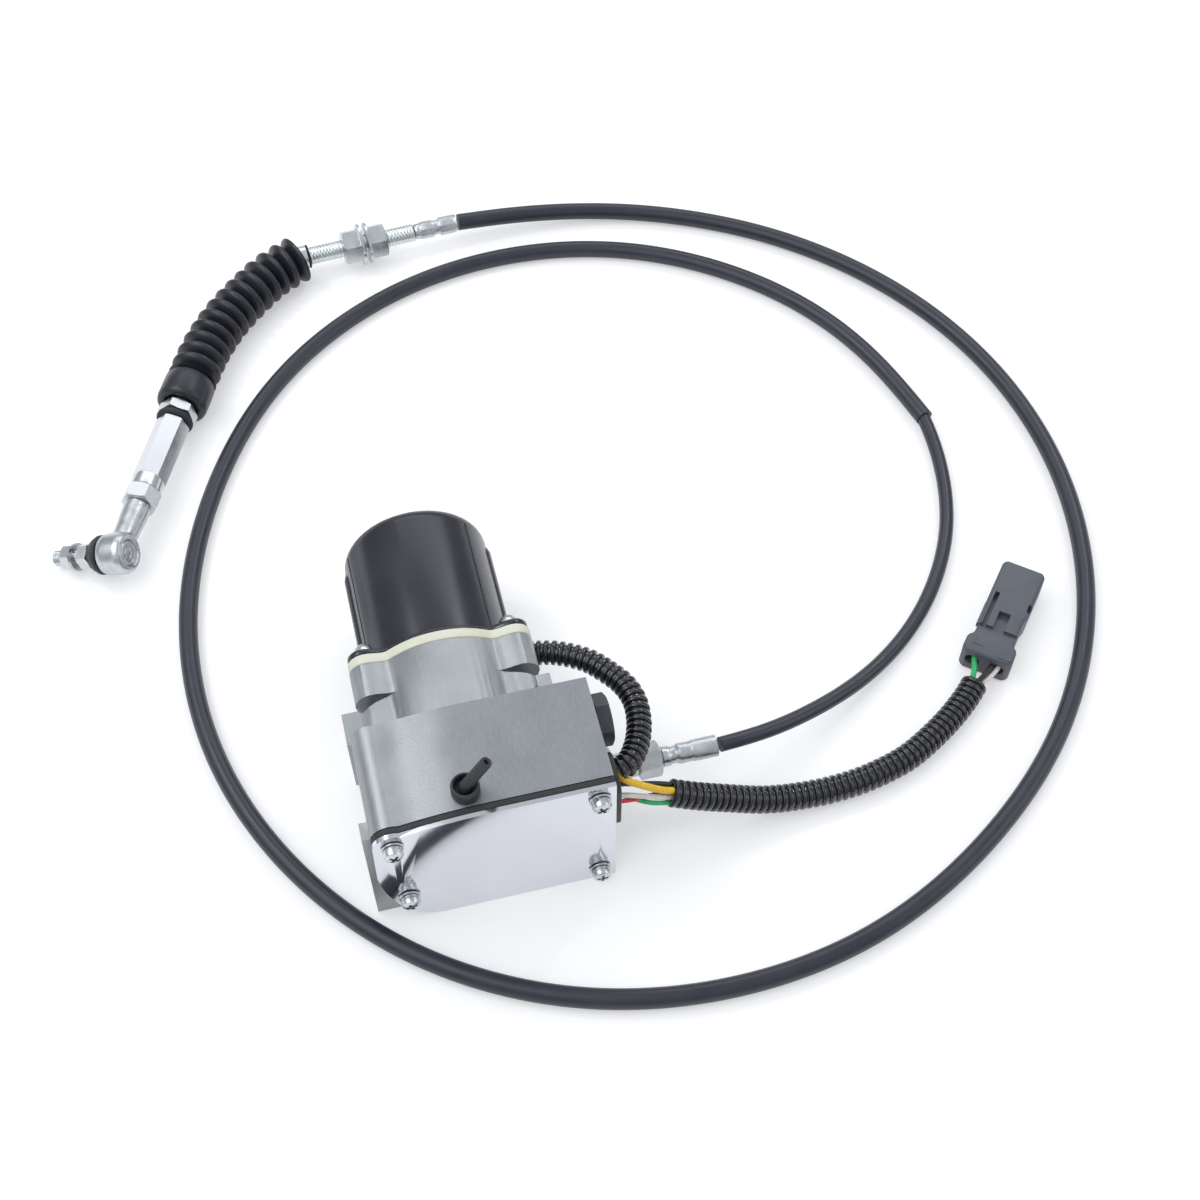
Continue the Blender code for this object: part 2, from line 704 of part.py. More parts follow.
def external_gear(teeth, middle_radii=()):
    pitch_radius = MODULE * teeth / 2
    tip = pitch_radius + ADDENDUM * MODULE
    root = pitch_radius - DEDENDUM * MODULE
    return gear_outline(teeth, tip, root, FLANK_PLAY, middle_radii)


def ring_space():
    """The toothed hole of the ring, which is a gear with its play taken away."""
    tip = RING_RADIUS + DEDENDUM * MODULE
    root = RING_RADIUS - ADDENDUM * MODULE
    return gear_outline(RING_TEETH, tip, root, -FLANK_PLAY)


def smooth_route(points_mm, spacing, start=None):
    """Points a set distance apart on a smooth curve through the route, in metres."""
    points = [Vector(point) * MM for point in points_mm]
    if start is not None:
        points[0] = Vector(start)
    padded = [points[0] * 2 - points[1], *points, points[-1] * 2 - points[-2]]
    fine = []
    for a, b, c, d in zip(padded, padded[1:], padded[2:], padded[3:]):
        for step in range(24):
            t = step / 24
            fine.append(
                0.5
                * (
                    2 * b
                    + (c - a) * t
                    + (2 * a - 5 * b + 4 * c - d) * t * t
                    + (3 * b - a - 3 * c + d) * t**3
                )
            )
    fine.append(points[-1])
    lengths = [0.0]
    for a, b in zip(fine, fine[1:]):
        lengths.append(lengths[-1] + (b - a).length)
    count = max(3, round(lengths[-1] / spacing))
    route = []
    at = 0
    for step in range(count + 1):
        target = lengths[-1] * step / count
        while at < len(fine) - 2 and lengths[at + 1] < target:
            at += 1
        share = (target - lengths[at]) / max(lengths[at + 1] - lengths[at], 1e-12)
        route.append(fine[at].lerp(fine[at + 1], min(share, 1.0)))
    return route


def cord(name, route, diameter, material, resolution=2):
    """A plain round cord through the route's points."""
    curve = bpy.data.curves.new(name, "CURVE")
    curve.dimensions = "3D"
    curve.bevel_depth = diameter / 2
    curve.bevel_resolution = resolution
    curve.use_fill_caps = True
    spline = curve.splines.new("POLY")
    spline.points.add(len(route) - 1)
    for point, place in zip(spline.points, route):
        point.co = (*place, 1)
    curve.materials.append(material)
    obj = bpy.data.objects.new(name, curve)
    bpy.context.scene.collection.objects.link(obj)
    return obj


def lofted(name, stations, material, sides, closed=False):
    """Rings of a radius round each station's frame, skinned in order. A closed one joins up."""
    bm = bmesh.new()
    rings = []
    for frame, radius in stations:
        made = bmesh.ops.create_circle(bm, segments=sides, radius=radius, matrix=frame)
        rings.append(made["verts"])
    pairs = list(zip(rings, rings[1:]))
    if closed:
        pairs.append((rings[-1], rings[0]))
    for lower, upper in pairs:
        for index in range(sides):
            after = (index + 1) % sides
            bm.faces.new((lower[index], lower[after], upper[after], upper[index]))
    if not closed:
        bm.faces.new(rings[0])
        bm.faces.new(rings[-1])
    return add_object(name, bm, material)


def route_frames(route, upward=Z_AXIS):
    """A frame at each point of a route, with its Z along the route."""
    frames = []
    for index, place in enumerate(route):
        before = route[max(index - 1, 0)]
        after = route[min(index + 1, len(route) - 1)]
        frames.append(axis_frame(place, after - before, upward))
    return frames


# Housing, gasket and cover


def make_housing():
    """The casting: block, neck with four lobes, two ears, and the bores through them."""
    housing = prism(
        "gear_housing", housing_outline(), BLOCK_DEPTH, ALUMINIUM, front_frame(BACK)
    )
    neck = turned(
        "neck",
        rod_profile(NECK_RADIUS, -2 * MM, NECK_LENGTH - 1 * MM),
        ALUMINIUM,
        motor_frame(BACK),
        36,
    )
    lobes = prism(
        "neck lobes",
        lobed_outline(LOBE_DISC_RADIUS, LOBE_RADIUS),
        LOBE_DEPTH,
        ALUMINIUM,
        motor_frame(NECK_END - LOBE_DEPTH),
    )
    front_ear_y = FRONT + FRONT_EAR_SETBACK
    front_ear = box(
        "front ear",
        (-EAR_LEFT, front_ear_y, 0),
        (-EAR_LEFT + FRONT_EAR_WIDTH, front_ear_y + FRONT_EAR_DEPTH, FRONT_EAR_HEIGHT),
        ALUMINIUM,
    )
    rear_ear_y = BACK + REAR_EAR_START
    rear_ear = box(
        "rear ear",
        (-EAR_LEFT + 1 * MM, rear_ear_y, 0),
        (-EAR_LEFT + REAR_EAR_WIDTH, rear_ear_y + REAR_EAR_DEPTH, REAR_EAR_HEIGHT),
        ALUMINIUM,
    )
    rib = box(
        "rear rib",
        (RIB_X, BACK - 2 * MM, 0),
        (RIB_X + RIB_WIDTH, BACK + RIB_DEPTH, RIB_HEIGHT),
        ALUMINIUM,
    )
    join(housing, neck, lobes, front_ear, rear_ear, rib)
    compartment = prism(
        "compartment",
        compartment_outline(),
        COMPARTMENT_DEPTH + 2 * MM,
        ALUMINIUM,
        front_frame(COMPARTMENT_FLOOR),
    )
    cut(housing, compartment)
    for index, (x, z) in enumerate(COVER_SCREW_SPOTS):
        if (x, z) == UPPER_LEFT_SCREW:
            continue
        boss = turned(
            f"screw boss {index}",
            rod_profile(SCREW_BOSS_RADIUS, 0, SCREW_BOSS_DEPTH),
            ALUMINIUM,
            motor_frame(FRONT, x, z),
            20,
        )
        join(housing, boss)
    for side in (-1, 1):
        post = turned(
            f"sensor post {side}",
            rod_profile(SENSOR_POST_RADIUS, 0, COMPARTMENT_FLOOR + 2 * MM - SENSOR_BACK),
            ALUMINIUM,
            motor_frame(SENSOR_BACK + CONTACT_GAP, side * SENSOR_POST_X, SENSOR_POST_Z),
            16,
        )
        join(housing, post)
    gear_bore = RING_OUTER_RADIUS + CONTACT_GAP
    drill(housing, gear_bore, motor_frame(RING_SEAT), 0, 60 * MM, 36)
    recess = ORBIT_RADIUS + PLANET_PIN_RADIUS + 4 * MM
    drill(housing, recess, motor_frame(CARRIER_RECESS_FLOOR), 0, 20 * MM, 28)
    drill(
        housing,
        OUTPUT_BUSH_RADIUS + CONTACT_GAP,
        motor_frame(COMPARTMENT_FLOOR),
        -5 * MM,
        60 * MM,
        24,
    )
    screw_hole = COVER_SCREW_RADIUS + COVER_SCREW_CLEARANCE
    for x, z in COVER_SCREW_SPOTS:
        drill(housing, screw_hole, motor_frame(FRONT, x, z), -MM, COVER_SCREW_LENGTH - MM, 10)
    can_hole = CAN_SCREW_RADIUS + CAN_SCREW_CLEARANCE
    for x, z in CAN_SCREW_SPOTS:
        drill(housing, can_hole, motor_frame(NECK_END, x, z), -14 * MM, MM, 8)
    cable_frame = side_frame(CABLE_Y, CABLE_Z)
    drill(housing, FITTING_THREAD_RADIUS + CONTACT_GAP, cable_frame, -2 * WALL, MM)
    plug_frame = side_frame(PLUG_Y, PLUG_Z)
    drill(housing, PLUG_THREAD_RADIUS + CONTACT_GAP, plug_frame, -2 * WALL, MM)
    slot = prism(
        "grommet slot",
        rounded_rectangle(
            GROMMET_NECK_HEIGHT + 2 * CONTACT_GAP,
            GROMMET_NECK_WIDTH + 2 * CONTACT_GAP,
            GROMMET_NECK_WIDTH / 2,
        ),
        2 * WALL + MM,
        ALUMINIUM,
        side_frame(GROMMET_Y, GROMMET_Z, BLOCK_RIGHT - 2 * WALL),
    )
    cut(housing, slot)
    vent_frame = Matrix.Translation((BREATHER_X, BREATHER_Y, HOUSING_HEIGHT))
    drill(housing, BREATHER_TUBE_BORE, vent_frame, -2 * COMPARTMENT_TOP_WALL, MM, 12)
    front_hole_y = front_ear_y + FRONT_EAR_DEPTH / 2
    rear_hole_y = rear_ear_y + REAR_EAR_DEPTH / 2
    pad_holes = (
        (front_hole_y, PAD_HOLE_EDGE),
        (front_hole_y, FRONT_EAR_HEIGHT - PAD_HOLE_EDGE),
        (rear_hole_y, REAR_EAR_HEIGHT - PAD_HOLE_EDGE),
    )
    for y, z in pad_holes:
        frame = side_frame(y, z, -EAR_LEFT)
        drill(housing, PAD_HOLE_RADIUS, frame, -MM, PAD_HOLE_DEPTH, 12)
    return housing


def drill_screw_holes(plate, spots, radius):
    for x, z in spots:
        drill(plate, radius, motor_frame(0, x, z), -60 * MM, 90 * MM, 10)


def make_front_plates():
    """The rubber gasket frame and the polished cover over the compartment."""
    hole = COVER_SCREW_RADIUS + COVER_SCREW_CLEARANCE
    gasket = prism(
        "front_gasket", housing_outline(), GASKET_THICKNESS, RUBBER, front_frame(GASKET_BACK)
    )
    opening = prism(
        "gasket opening",
        [(x * 0.9, (z - AXIS_HEIGHT) * 0.9 + AXIS_HEIGHT) for x, z in compartment_outline()],
        GASKET_THICKNESS + 2 * MM,
        RUBBER,
        front_frame(GASKET_BACK + MM),
    )
    for index, (x, z) in enumerate(COVER_SCREW_SPOTS):
        if (x, z) == UPPER_LEFT_SCREW:
            continue
        eyelet = turned(
            f"gasket eyelet {index}",
            rod_profile(SCREW_BOSS_RADIUS, -5 * MM, 5 * MM),
            RUBBER,
            motor_frame(GASKET_BACK, x, z),
            10,
        )
        cut(opening, eyelet)
    cut(gasket, opening)
    drill_screw_holes(gasket, COVER_SCREW_SPOTS, hole)
    cover = prism(
        "front_cover", housing_outline(), COVER_THICKNESS, CHROME, front_frame(COVER_BACK)
    )
    drill_screw_holes(cover, COVER_SCREW_SPOTS, hole)


def make_cover_screws():
    """Each screw carries its own spring washer and flat washer."""
    seat = CONTACT_GAP
    under_spring = seat + WASHER_THICKNESS
    under_head = under_spring + SPRING_WASHER_THICKNESS
    top = under_head + SCREW_HEAD_HEIGHT
    profile = [
        (0, seat - COVER_SCREW_LENGTH),
        (COVER_SCREW_RADIUS, seat - COVER_SCREW_LENGTH),
        (COVER_SCREW_RADIUS, seat),
        (WASHER_RADIUS, seat),
        (WASHER_RADIUS, under_spring),
        (SPRING_WASHER_RADIUS, under_spring),
        (SPRING_WASHER_RADIUS, under_head),
        (SCREW_HEAD_RADIUS, under_head),
        (SCREW_HEAD_RADIUS, under_head + SCREW_HEAD_HEIGHT * 0.6),
        (SCREW_HEAD_RADIUS * 0.72, top),
        (0, top),
    ]
    for index, (x, z) in enumerate(COVER_SCREW_SPOTS):
        frame = Matrix.Translation((x, COVER_FRONT, z)) @ Matrix.Rotation(math.pi / 2, 4, "X")
        turned(f"cover_screw_{index + 1}", profile, ZINC, frame, 10)


# Motor


def make_spacer():
    """The cream plastic plate between the casting and the can."""
    spacer = prism(
        "spacer_plate",
        lobed_outline(LOBE_DISC_RADIUS, LOBE_RADIUS),
        SPACER_THICKNESS,
        CREAM,
        motor_frame(SPACER_FRONT),
    )
    bore = END_PLATE_NOSE_RADIUS + SPACER_BORE_CLEARANCE
    drill(spacer, bore, motor_frame(SPACER_FRONT), -MM, SPACER_THICKNESS + MM, 24)
    drill_screw_holes(spacer, CAN_SCREW_SPOTS, CAN_SCREW_RADIUS + CAN_SCREW_CLEARANCE)


def can_profile():
    """Half section of the can, from the mouth's outer edge round the closed end and back."""
    end = CAN_LENGTH
    inner_end = CAN_LENGTH - CAN_WALL
    outside = [(CAN_RADIUS, 0)]
    for step in range(5):
        angle = math.radians(22.5 * step)
        radius = CAN_RADIUS - CAN_ROUNDING + CAN_ROUNDING * math.cos(angle)
        outside.append((radius, end - CAN_ROUNDING + CAN_ROUNDING * math.sin(angle)))
    boss = BEARING_RADIUS + CONTACT_GAP
    boss_start = inner_end - BEARING_WIDTH - CONTACT_GAP
    inside = [
        (0, inner_end),
        (boss, inner_end),
        (boss, boss_start),
        (boss + CAN_WALL, boss_start),
        (boss + CAN_WALL, inner_end),
        (CAN_INNER_RADIUS - CAN_ROUNDING + CAN_WALL, inner_end),
        (CAN_INNER_RADIUS, end - CAN_ROUNDING),
        (CAN_INNER_RADIUS, 0),
    ]
    return outside + [(0, end)] + inside


def make_can():
    """The drawn steel can, its screw flange and the rib along its right side."""
    profile = can_profile()
    start = profile.index((0, CAN_LENGTH))
    around = profile[start + 1 :] + profile[:start] + [(0, CAN_LENGTH)]
    can = turned("motor_can", around, BLACK_PAINT, motor_frame(CAN_FRONT), 32)
    flange = prism(
        "can flange",
        lobed_outline(CAN_RADIUS + 1 * MM, LOBE_RADIUS),
        CAN_FLANGE_THICKNESS,
        BLACK_PAINT,
        motor_frame(CAN_FRONT),
    )
    drill(flange, CAN_INNER_RADIUS + 0.6 * MM, motor_frame(CAN_FRONT), -MM, 9 * MM, 32)
    angle = math.radians(CAN_RIB_ANGLE)
    rib_x = (CAN_RADIUS - CAN_RIB_RADIUS * 0.35) * math.cos(angle)
    rib_z = AXIS_HEIGHT + (CAN_RADIUS - CAN_RIB_RADIUS * 0.35) * math.sin(angle)
    rib_top = CAN_LENGTH - CAN_RIB_END
    rib = turned(
        "can rib",
        [
            (0, CAN_FLANGE_THICKNESS / 2),
            (CAN_RIB_RADIUS, CAN_FLANGE_THICKNESS / 2),
            (CAN_RIB_RADIUS, rib_top),
            (CAN_RIB_RADIUS * 0.7, rib_top + CAN_RIB_RADIUS * 0.7),
            (0, rib_top + CAN_RIB_RADIUS),
        ],
        BLACK_PAINT,
        motor_frame(CAN_FRONT, rib_x, rib_z),
        12,
    )
    hollow = turned(
        "can rib hollow",
        rod_profile(CAN_INNER_RADIUS + 0.5 * MM, -MM, CAN_LENGTH),
        BLACK_PAINT,
        motor_frame(CAN_FRONT),
        32,
    )
    cut(rib, hollow)
    join(can, flange, rib)
    head = CAN_FLANGE_THICKNESS + CAN_SCREW_HEAD_HEIGHT
    tip = CAN_FLANGE_THICKNESS - CAN_SCREW_LENGTH
    screw_profile = [
        (0, tip),
        (CAN_SCREW_RADIUS, tip),
        (CAN_SCREW_RADIUS, CAN_FLANGE_THICKNESS / 2),
        (CAN_SCREW_HEAD_RADIUS, CAN_FLANGE_THICKNESS / 2),
        (CAN_SCREW_HEAD_RADIUS, head - CAN_SCREW_HEAD_HEIGHT * 0.4),
        (CAN_SCREW_HEAD_RADIUS * 0.7, head),
        (0, head),
    ]
    for index, (x, z) in enumerate(CAN_SCREW_SPOTS):
        frame = motor_frame(CAN_FRONT, x, z)
        join(can, turned(f"can screw {index}", screw_profile, BLACK_PAINT, frame, 8))


def make_motor_end_plate():
    """The plastic plate in the can's mouth: bearing nose in front, brush guides behind."""
    start = CONTACT_GAP - END_PLATE_NOSE_LENGTH
    seat_depth = start + BEARING_WIDTH + CONTACT_GAP
    back = CONTACT_GAP + END_PLATE_THICKNESS
    seat = BEARING_RADIUS + CONTACT_GAP
    rim = CAN_INNER_RADIUS - CONTACT_GAP
    profile = [
        (seat, start),
        (END_PLATE_NOSE_RADIUS, start),
        (END_PLATE_NOSE_RADIUS, CONTACT_GAP),
        (rim, CONTACT_GAP),
        (rim, back),
        (SHAFT_RADIUS + 1 * MM, back),
        (SHAFT_RADIUS + 1 * MM, seat_depth),
        (seat, seat_depth),
    ]
    plate = turned("motor_end_plate", profile, BLACK_PLASTIC, motor_frame(CAN_FRONT), 24, True)
    guide_start = COMMUTATOR_RADIUS + 3 * MM
    guide_end = COMMUTATOR_RADIUS + CONTACT_GAP + BRUSH_LENGTH
    for side in (-1, 1):
        low = min(side * guide_start, side * guide_end)
        high = max(side * guide_start, side * guide_end)
        guide = box(
            f"brush guide {side}",
            (low, -BRUSH_WIDTH / 2 - MM, back - MM),
            (high, BRUSH_WIDTH / 2 + MM, brush_front() - CAN_FRONT - CONTACT_GAP),
            BLACK_PLASTIC,
            motor_frame(CAN_FRONT),
        )
        join(plate, guide)
    bearing = tube_profile(
        SHAFT_RADIUS + RUNNING_GAP, BEARING_RADIUS, start + CONTACT_GAP, seat_depth - CONTACT_GAP
    )
    turned("front_bearing", bearing, STEEL, motor_frame(CAN_FRONT), 18, True)
    rear_seat = CAN_LENGTH - CAN_WALL - CONTACT_GAP
    rear = tube_profile(
        SHAFT_RADIUS + RUNNING_GAP, BEARING_RADIUS, rear_seat - BEARING_WIDTH, rear_seat
    )
    turned("rear_bearing", rear, STEEL, motor_frame(CAN_FRONT), 18, True)


def brush_front():
    """Where the brushes begin along the commutator."""
    return COMMUTATOR_FRONT + (COMMUTATOR_LENGTH - BRUSH_HEIGHT) / 2


def make_brushes():
    for index, side in enumerate((-1, 1)):
        inner = side * (COMMUTATOR_RADIUS + CONTACT_GAP)
        outer = side * (COMMUTATOR_RADIUS + CONTACT_GAP + BRUSH_LENGTH)
        box(
            f"brush_{index + 1}",
            (min(inner, outer), -BRUSH_WIDTH / 2, 0),
            (max(inner, outer), BRUSH_WIDTH / 2, BRUSH_HEIGHT),
            CARBON,
            motor_frame(brush_front()),
        )


def make_magnets():
    """Two arc magnets on the can's inner wall, above and below the armature."""
    outer = CAN_INNER_RADIUS - CONTACT_GAP
    inner = outer - MAGNET_THICKNESS
    start = CORE_FRONT - MAGNET_OVERHANG
    for index, middle in enumerate((90, 270)):
        low = middle - MAGNET_ANGLE / 2
        high = middle + MAGNET_ANGLE / 2
        outline = arc_about((0, 0), outer, low, high, 16)
        outline += arc_about((0, 0), inner, high, low, 16)
        prism(f"magnet_{index + 1}", outline, MAGNET_LENGTH, CARBON, motor_frame(start))


def make_armature():
    """Shaft with the sun gear, slotted core, copper windings through the slots, commutator."""
    tip = PLANET_FRONT + 0.3 * MM
    shaft_end = CAN_FRONT + CAN_LENGTH - CAN_WALL - 1 * MM
    shaft = turned(
        "motor_shaft",
        rod_profile(SHAFT_RADIUS, 0, shaft_end - tip),
        STEEL,
        motor_frame(tip),
        14,
    )
    sun_outline = external_gear(SUN_TEETH, (SUN_RADIUS * math.cos(PRESSURE_ANGLE),))
    sun = prism("sun teeth", sun_outline, GEAR_WIDTH + MM, STEEL, motor_frame(tip))
    join(shaft, sun)
    shaft_fit = SHAFT_RADIUS + CONTACT_GAP
    outline = []
    half_slot = SLOT_WIDTH / 2
    bottom = CORE_RADIUS_ARMATURE - SLOT_DEPTH
    edge = math.degrees(math.asin(half_slot / CORE_RADIUS_ARMATURE))
    for slot in range(SLOT_COUNT):
        middle = 360 * slot / SLOT_COUNT
        turn = math.radians(middle)
        for across in (-half_slot, half_slot):
            x = bottom * math.cos(turn) - across * math.sin(turn)
            y = bottom * math.sin(turn) + across * math.cos(turn)
            outline.append((x, y))
        tooth_end = middle + 360 / SLOT_COUNT - edge
        outline += arc_about((0, 0), CORE_RADIUS_ARMATURE, middle + edge, tooth_end, 2)
    core = prism("armature_core", outline, CORE_LENGTH, STEEL, motor_frame(CORE_FRONT))
    drill(core, shaft_fit, motor_frame(CORE_FRONT), -MM, CORE_LENGTH + MM, 14)
    bar_bottom = bottom + CONTACT_GAP
    ring_outer = bar_bottom + SLOT_DEPTH * 0.72
    ring_inner = ring_outer - WINDING_WALL
    rear_start = CORE_LENGTH + CONTACT_GAP
    windings = turned(
        "armature_windings",
        tube_profile(ring_inner, ring_outer, -CONTACT_GAP - WINDING_OVERHANG, -CONTACT_GAP),
        COPPER,
        motor_frame(CORE_FRONT),
        12,
        True,
    )
    rear_ring = turned(
        "rear windings",
        tube_profile(ring_inner, ring_outer, rear_start, rear_start + WINDING_OVERHANG),
        COPPER,
        motor_frame(CORE_FRONT),
        12,
        True,
    )
    join(windings, rear_ring)
    for slot in range(SLOT_COUNT):
        turn = Matrix.Rotation(2 * math.pi * slot / SLOT_COUNT, 4, "Z")
        bar = box(
            f"winding bar {slot}",
            (bar_bottom, -half_slot + CONTACT_GAP, -2 * MM),
            (ring_outer - 0.4 * MM, half_slot - CONTACT_GAP, CORE_LENGTH + 2 * MM),
            COPPER,
            motor_frame(CORE_FRONT) @ turn,
        )
        join(windings, bar)
    turned(
        "commutator",
        tube_profile(shaft_fit, COMMUTATOR_RADIUS, 0, COMMUTATOR_LENGTH),
        COPPER,
        motor_frame(COMMUTATOR_FRONT),
        18,
        True,
    )


# Planetary gear and output


def planet_turn(angle):
    """How a planet at this angle is turned so that its teeth mesh with the sun's."""
    total = (angle + math.pi) * PLANET_TEETH + angle * SUN_TEETH - math.pi
    return total / PLANET_TEETH


def planet_angles():
    return [2 * math.pi * index / PLANET_COUNT for index in range(PLANET_COUNT)]


def make_gears():
    """The fixed ring, three planets, and the carrier that is one piece with the output shaft."""
    circle = arc_about((0, 0), RING_OUTER_RADIUS, 0, 351, 39)
    ring = prism("ring_gear", circle, RING_WIDTH, STEEL, motor_frame(RING_FRONT))
    phase = Matrix.Rotation(math.pi * (PLANET_TEETH - 1) / RING_TEETH, 4, "Z")
    hole_frame = motor_frame(RING_FRONT - MM) @ phase
    cut(ring, prism("ring teeth", ring_space(), RING_WIDTH + 2 * MM, STEEL, hole_frame))
    carrier = turned(
        "output_carrier", carrier_profile(), STEEL, motor_frame(CARRIER_BACK), 24
    )
    for index, angle in enumerate(planet_angles()):
        frame = motor_frame(PLANET_FRONT) @ Matrix.Rotation(angle, 4, "Z")
        seat = frame @ Matrix.Translation((ORBIT_RADIUS, 0, 0))
        spin = Matrix.Rotation(planet_turn(angle) - angle, 4, "Z")
        planet = prism(
            f"planet_gear_{index + 1}", external_gear(PLANET_TEETH), GEAR_WIDTH, STEEL, seat @ spin
        )
        bore = PLANET_PIN_RADIUS + RUNNING_GAP
        drill(planet, bore, seat, -MM, GEAR_WIDTH + MM, 12)
        pin = turned(
            f"planet pin {index}",
            rod_profile(PLANET_PIN_RADIUS, -3 * MM, GEAR_WIDTH),
            STEEL,
            seat,
            12,
        )
        join(carrier, pin)


def carrier_profile():
    """Half section of the disc and the stepped shaft in front of it, from the disc's back."""
    disc = ORBIT_RADIUS + PLANET_PIN_RADIUS + 1.5 * MM
    shaft_front = lever_front() - 2 * MM - CARRIER_BACK
    tang_front = SENSOR_BACK - SENSOR_TANG_DEPTH - CARRIER_BACK
    return [
        (0, 0),
        (disc, 0),
        (disc, -CARRIER_THICKNESS),
        (OUTPUT_SHAFT_RADIUS, -CARRIER_THICKNESS),
        (OUTPUT_SHAFT_RADIUS, shaft_front),
        (SENSOR_TANG_RADIUS, shaft_front),
        (SENSOR_TANG_RADIUS, tang_front),
        (0, tang_front),
    ]


def lever_front():
    return CABLE_Y - LEVER_THICKNESS / 2


def make_output_bush():
    """The plain bush that the output shaft turns in, pressed into the casting."""
    section = tube_profile(
        OUTPUT_SHAFT_RADIUS + RUNNING_GAP, OUTPUT_BUSH_RADIUS, 0, OUTPUT_BUSH_LENGTH
    )
    turned("output_bush", section, BRONZE, motor_frame(COMPARTMENT_FLOOR), 20, True)


def make_lever():
    """The slotted lever on the output shaft, pointing down at rest."""
    far = PIN_DROP / math.cos(LEVER_SWING)
    slot_end = far + CLEVIS_PIN_RADIUS + 0.6 * MM
    slot_start = PIN_DROP - CLEVIS_PIN_RADIUS - 0.6 * MM
    tip = slot_end - LEVER_TIP_RADIUS + 3.4 * MM
    lean = math.degrees(math.asin((LEVER_HUB_RADIUS - LEVER_TIP_RADIUS) / tip))
    outline = arc_about((0, 0), LEVER_HUB_RADIUS, 180 - lean, 360 + lean, 12)
    outline += arc_about((0, tip), LEVER_TIP_RADIUS, lean, 180 - lean, 10)
    lever = prism("output_lever", outline, LEVER_THICKNESS, ZINC, motor_frame(lever_front()))
    hub = turned(
        "lever hub",
        rod_profile(LEVER_HUB_RADIUS - 0.5 * MM, 1 * MM, LEVER_HUB_LENGTH - 1 * MM),
        ZINC,
        motor_frame(lever_front()),
        16,
    )
    join(lever, hub)
    bore = OUTPUT_SHAFT_RADIUS + CONTACT_GAP
    drill(lever, bore, motor_frame(lever_front()), -MM, LEVER_HUB_LENGTH + MM, 16)
    half_width = CLEVIS_PIN_RADIUS + PIN_SLOT_PLAY
    middle = (slot_start + slot_end) / 2
    slot = prism(
        "lever slot",
        [
            (x, y + middle)
            for x, y in rounded_rectangle(
                2 * half_width, slot_end - slot_start + 1.2 * MM, half_width * 0.98
            )
        ],
        LEVER_THICKNESS + 2 * MM,
        ZINC,
        motor_frame(lever_front() - MM),
    )
    cut(lever, slot)


def make_clevis():
    """The fork astride the lever, in one piece with the rod that pushes the cable core."""
    inner = LEVER_THICKNESS / 2 + CONTACT_GAP
    outer = inner + CLEVIS_CHEEK
    frame = Matrix.Translation((0, CABLE_Y, CABLE_Z))
    throat_end = CLEVIS_THROAT + CLEVIS_BACK
    clevis = box(
        "cable_clevis",
        (-CLEVIS_NOSE, -outer, -CLEVIS_HALF_HEIGHT),
        (throat_end, outer, CLEVIS_HALF_HEIGHT),
        ZINC,
        frame,
    )
    throat = box(
        "clevis throat",
        (-CLEVIS_NOSE - MM, -inner, -2 * CLEVIS_HALF_HEIGHT),
        (CLEVIS_THROAT, inner, 2 * CLEVIS_HALF_HEIGHT),
        ZINC,
        frame,
    )
    cut(clevis, throat)
    pin_frame = motor_frame(CABLE_Y, 0, CABLE_Z)
    drill(clevis, CLEVIS_PIN_RADIUS + CONTACT_GAP, pin_frame, -outer - MM, outer + MM, 16)
    rod = turned(
        "core rod",
        rod_profile(CORE_ROD_RADIUS, throat_end - MM, CORE_ROD_END),
        ZINC,
        axis_frame(Vector((0, CABLE_Y, CABLE_Z)), X_AXIS),
        16,
    )
    join(clevis, rod)
    head = 1.2 * MM
    reach = outer + CONTACT_GAP
    turned(
        "clevis_pin",
        [
            (0, -reach - head),
            (CLEVIS_PIN_RADIUS * 1.5, -reach - head),
            (CLEVIS_PIN_RADIUS * 1.5, -reach),
            (CLEVIS_PIN_RADIUS, -reach),
            (CLEVIS_PIN_RADIUS, reach),
            (CLEVIS_PIN_RADIUS * 1.5, reach),
            (CLEVIS_PIN_RADIUS * 1.5, reach + head),
            (0, reach + head),
        ],
        STEEL,
        pin_frame,
        12,
    )


def make_sensor():
    """The position sensor, a round body with two ears on the casting's posts."""
    sensor = turned(
        "position_sensor",
        rod_profile(SENSOR_RADIUS, 0, SENSOR_DEPTH),
        BLACK_PLASTIC,
        motor_frame(SENSOR_FRONT),
        24,
    )
    ear_frame = motor_frame(SENSOR_BACK - SENSOR_EAR_THICKNESS)
    ear_drop = AXIS_HEIGHT - SENSOR_POST_Z
    for side in (-1, 1):
        outline = [
            (side * SENSOR_POST_X + x, ear_drop + y)
            for x, y in rounded_rectangle(
                2 * SENSOR_EAR_RADIUS + 14 * MM, 2 * SENSOR_EAR_RADIUS, SENSOR_EAR_RADIUS * 0.9
            )
        ]
        shifted = [(x - side * 7 * MM, y) for x, y in outline]
        ear = prism(f"sensor ear {side}", shifted, SENSOR_EAR_THICKNESS, BLACK_PLASTIC, ear_frame)
        join(sensor, ear)
    bore = SENSOR_TANG_RADIUS + CONTACT_GAP
    drill(sensor, bore, motor_frame(SENSOR_BACK), -SENSOR_TANG_DEPTH - MM, MM, 16)


# Right face: cable fitting, plug and grommet


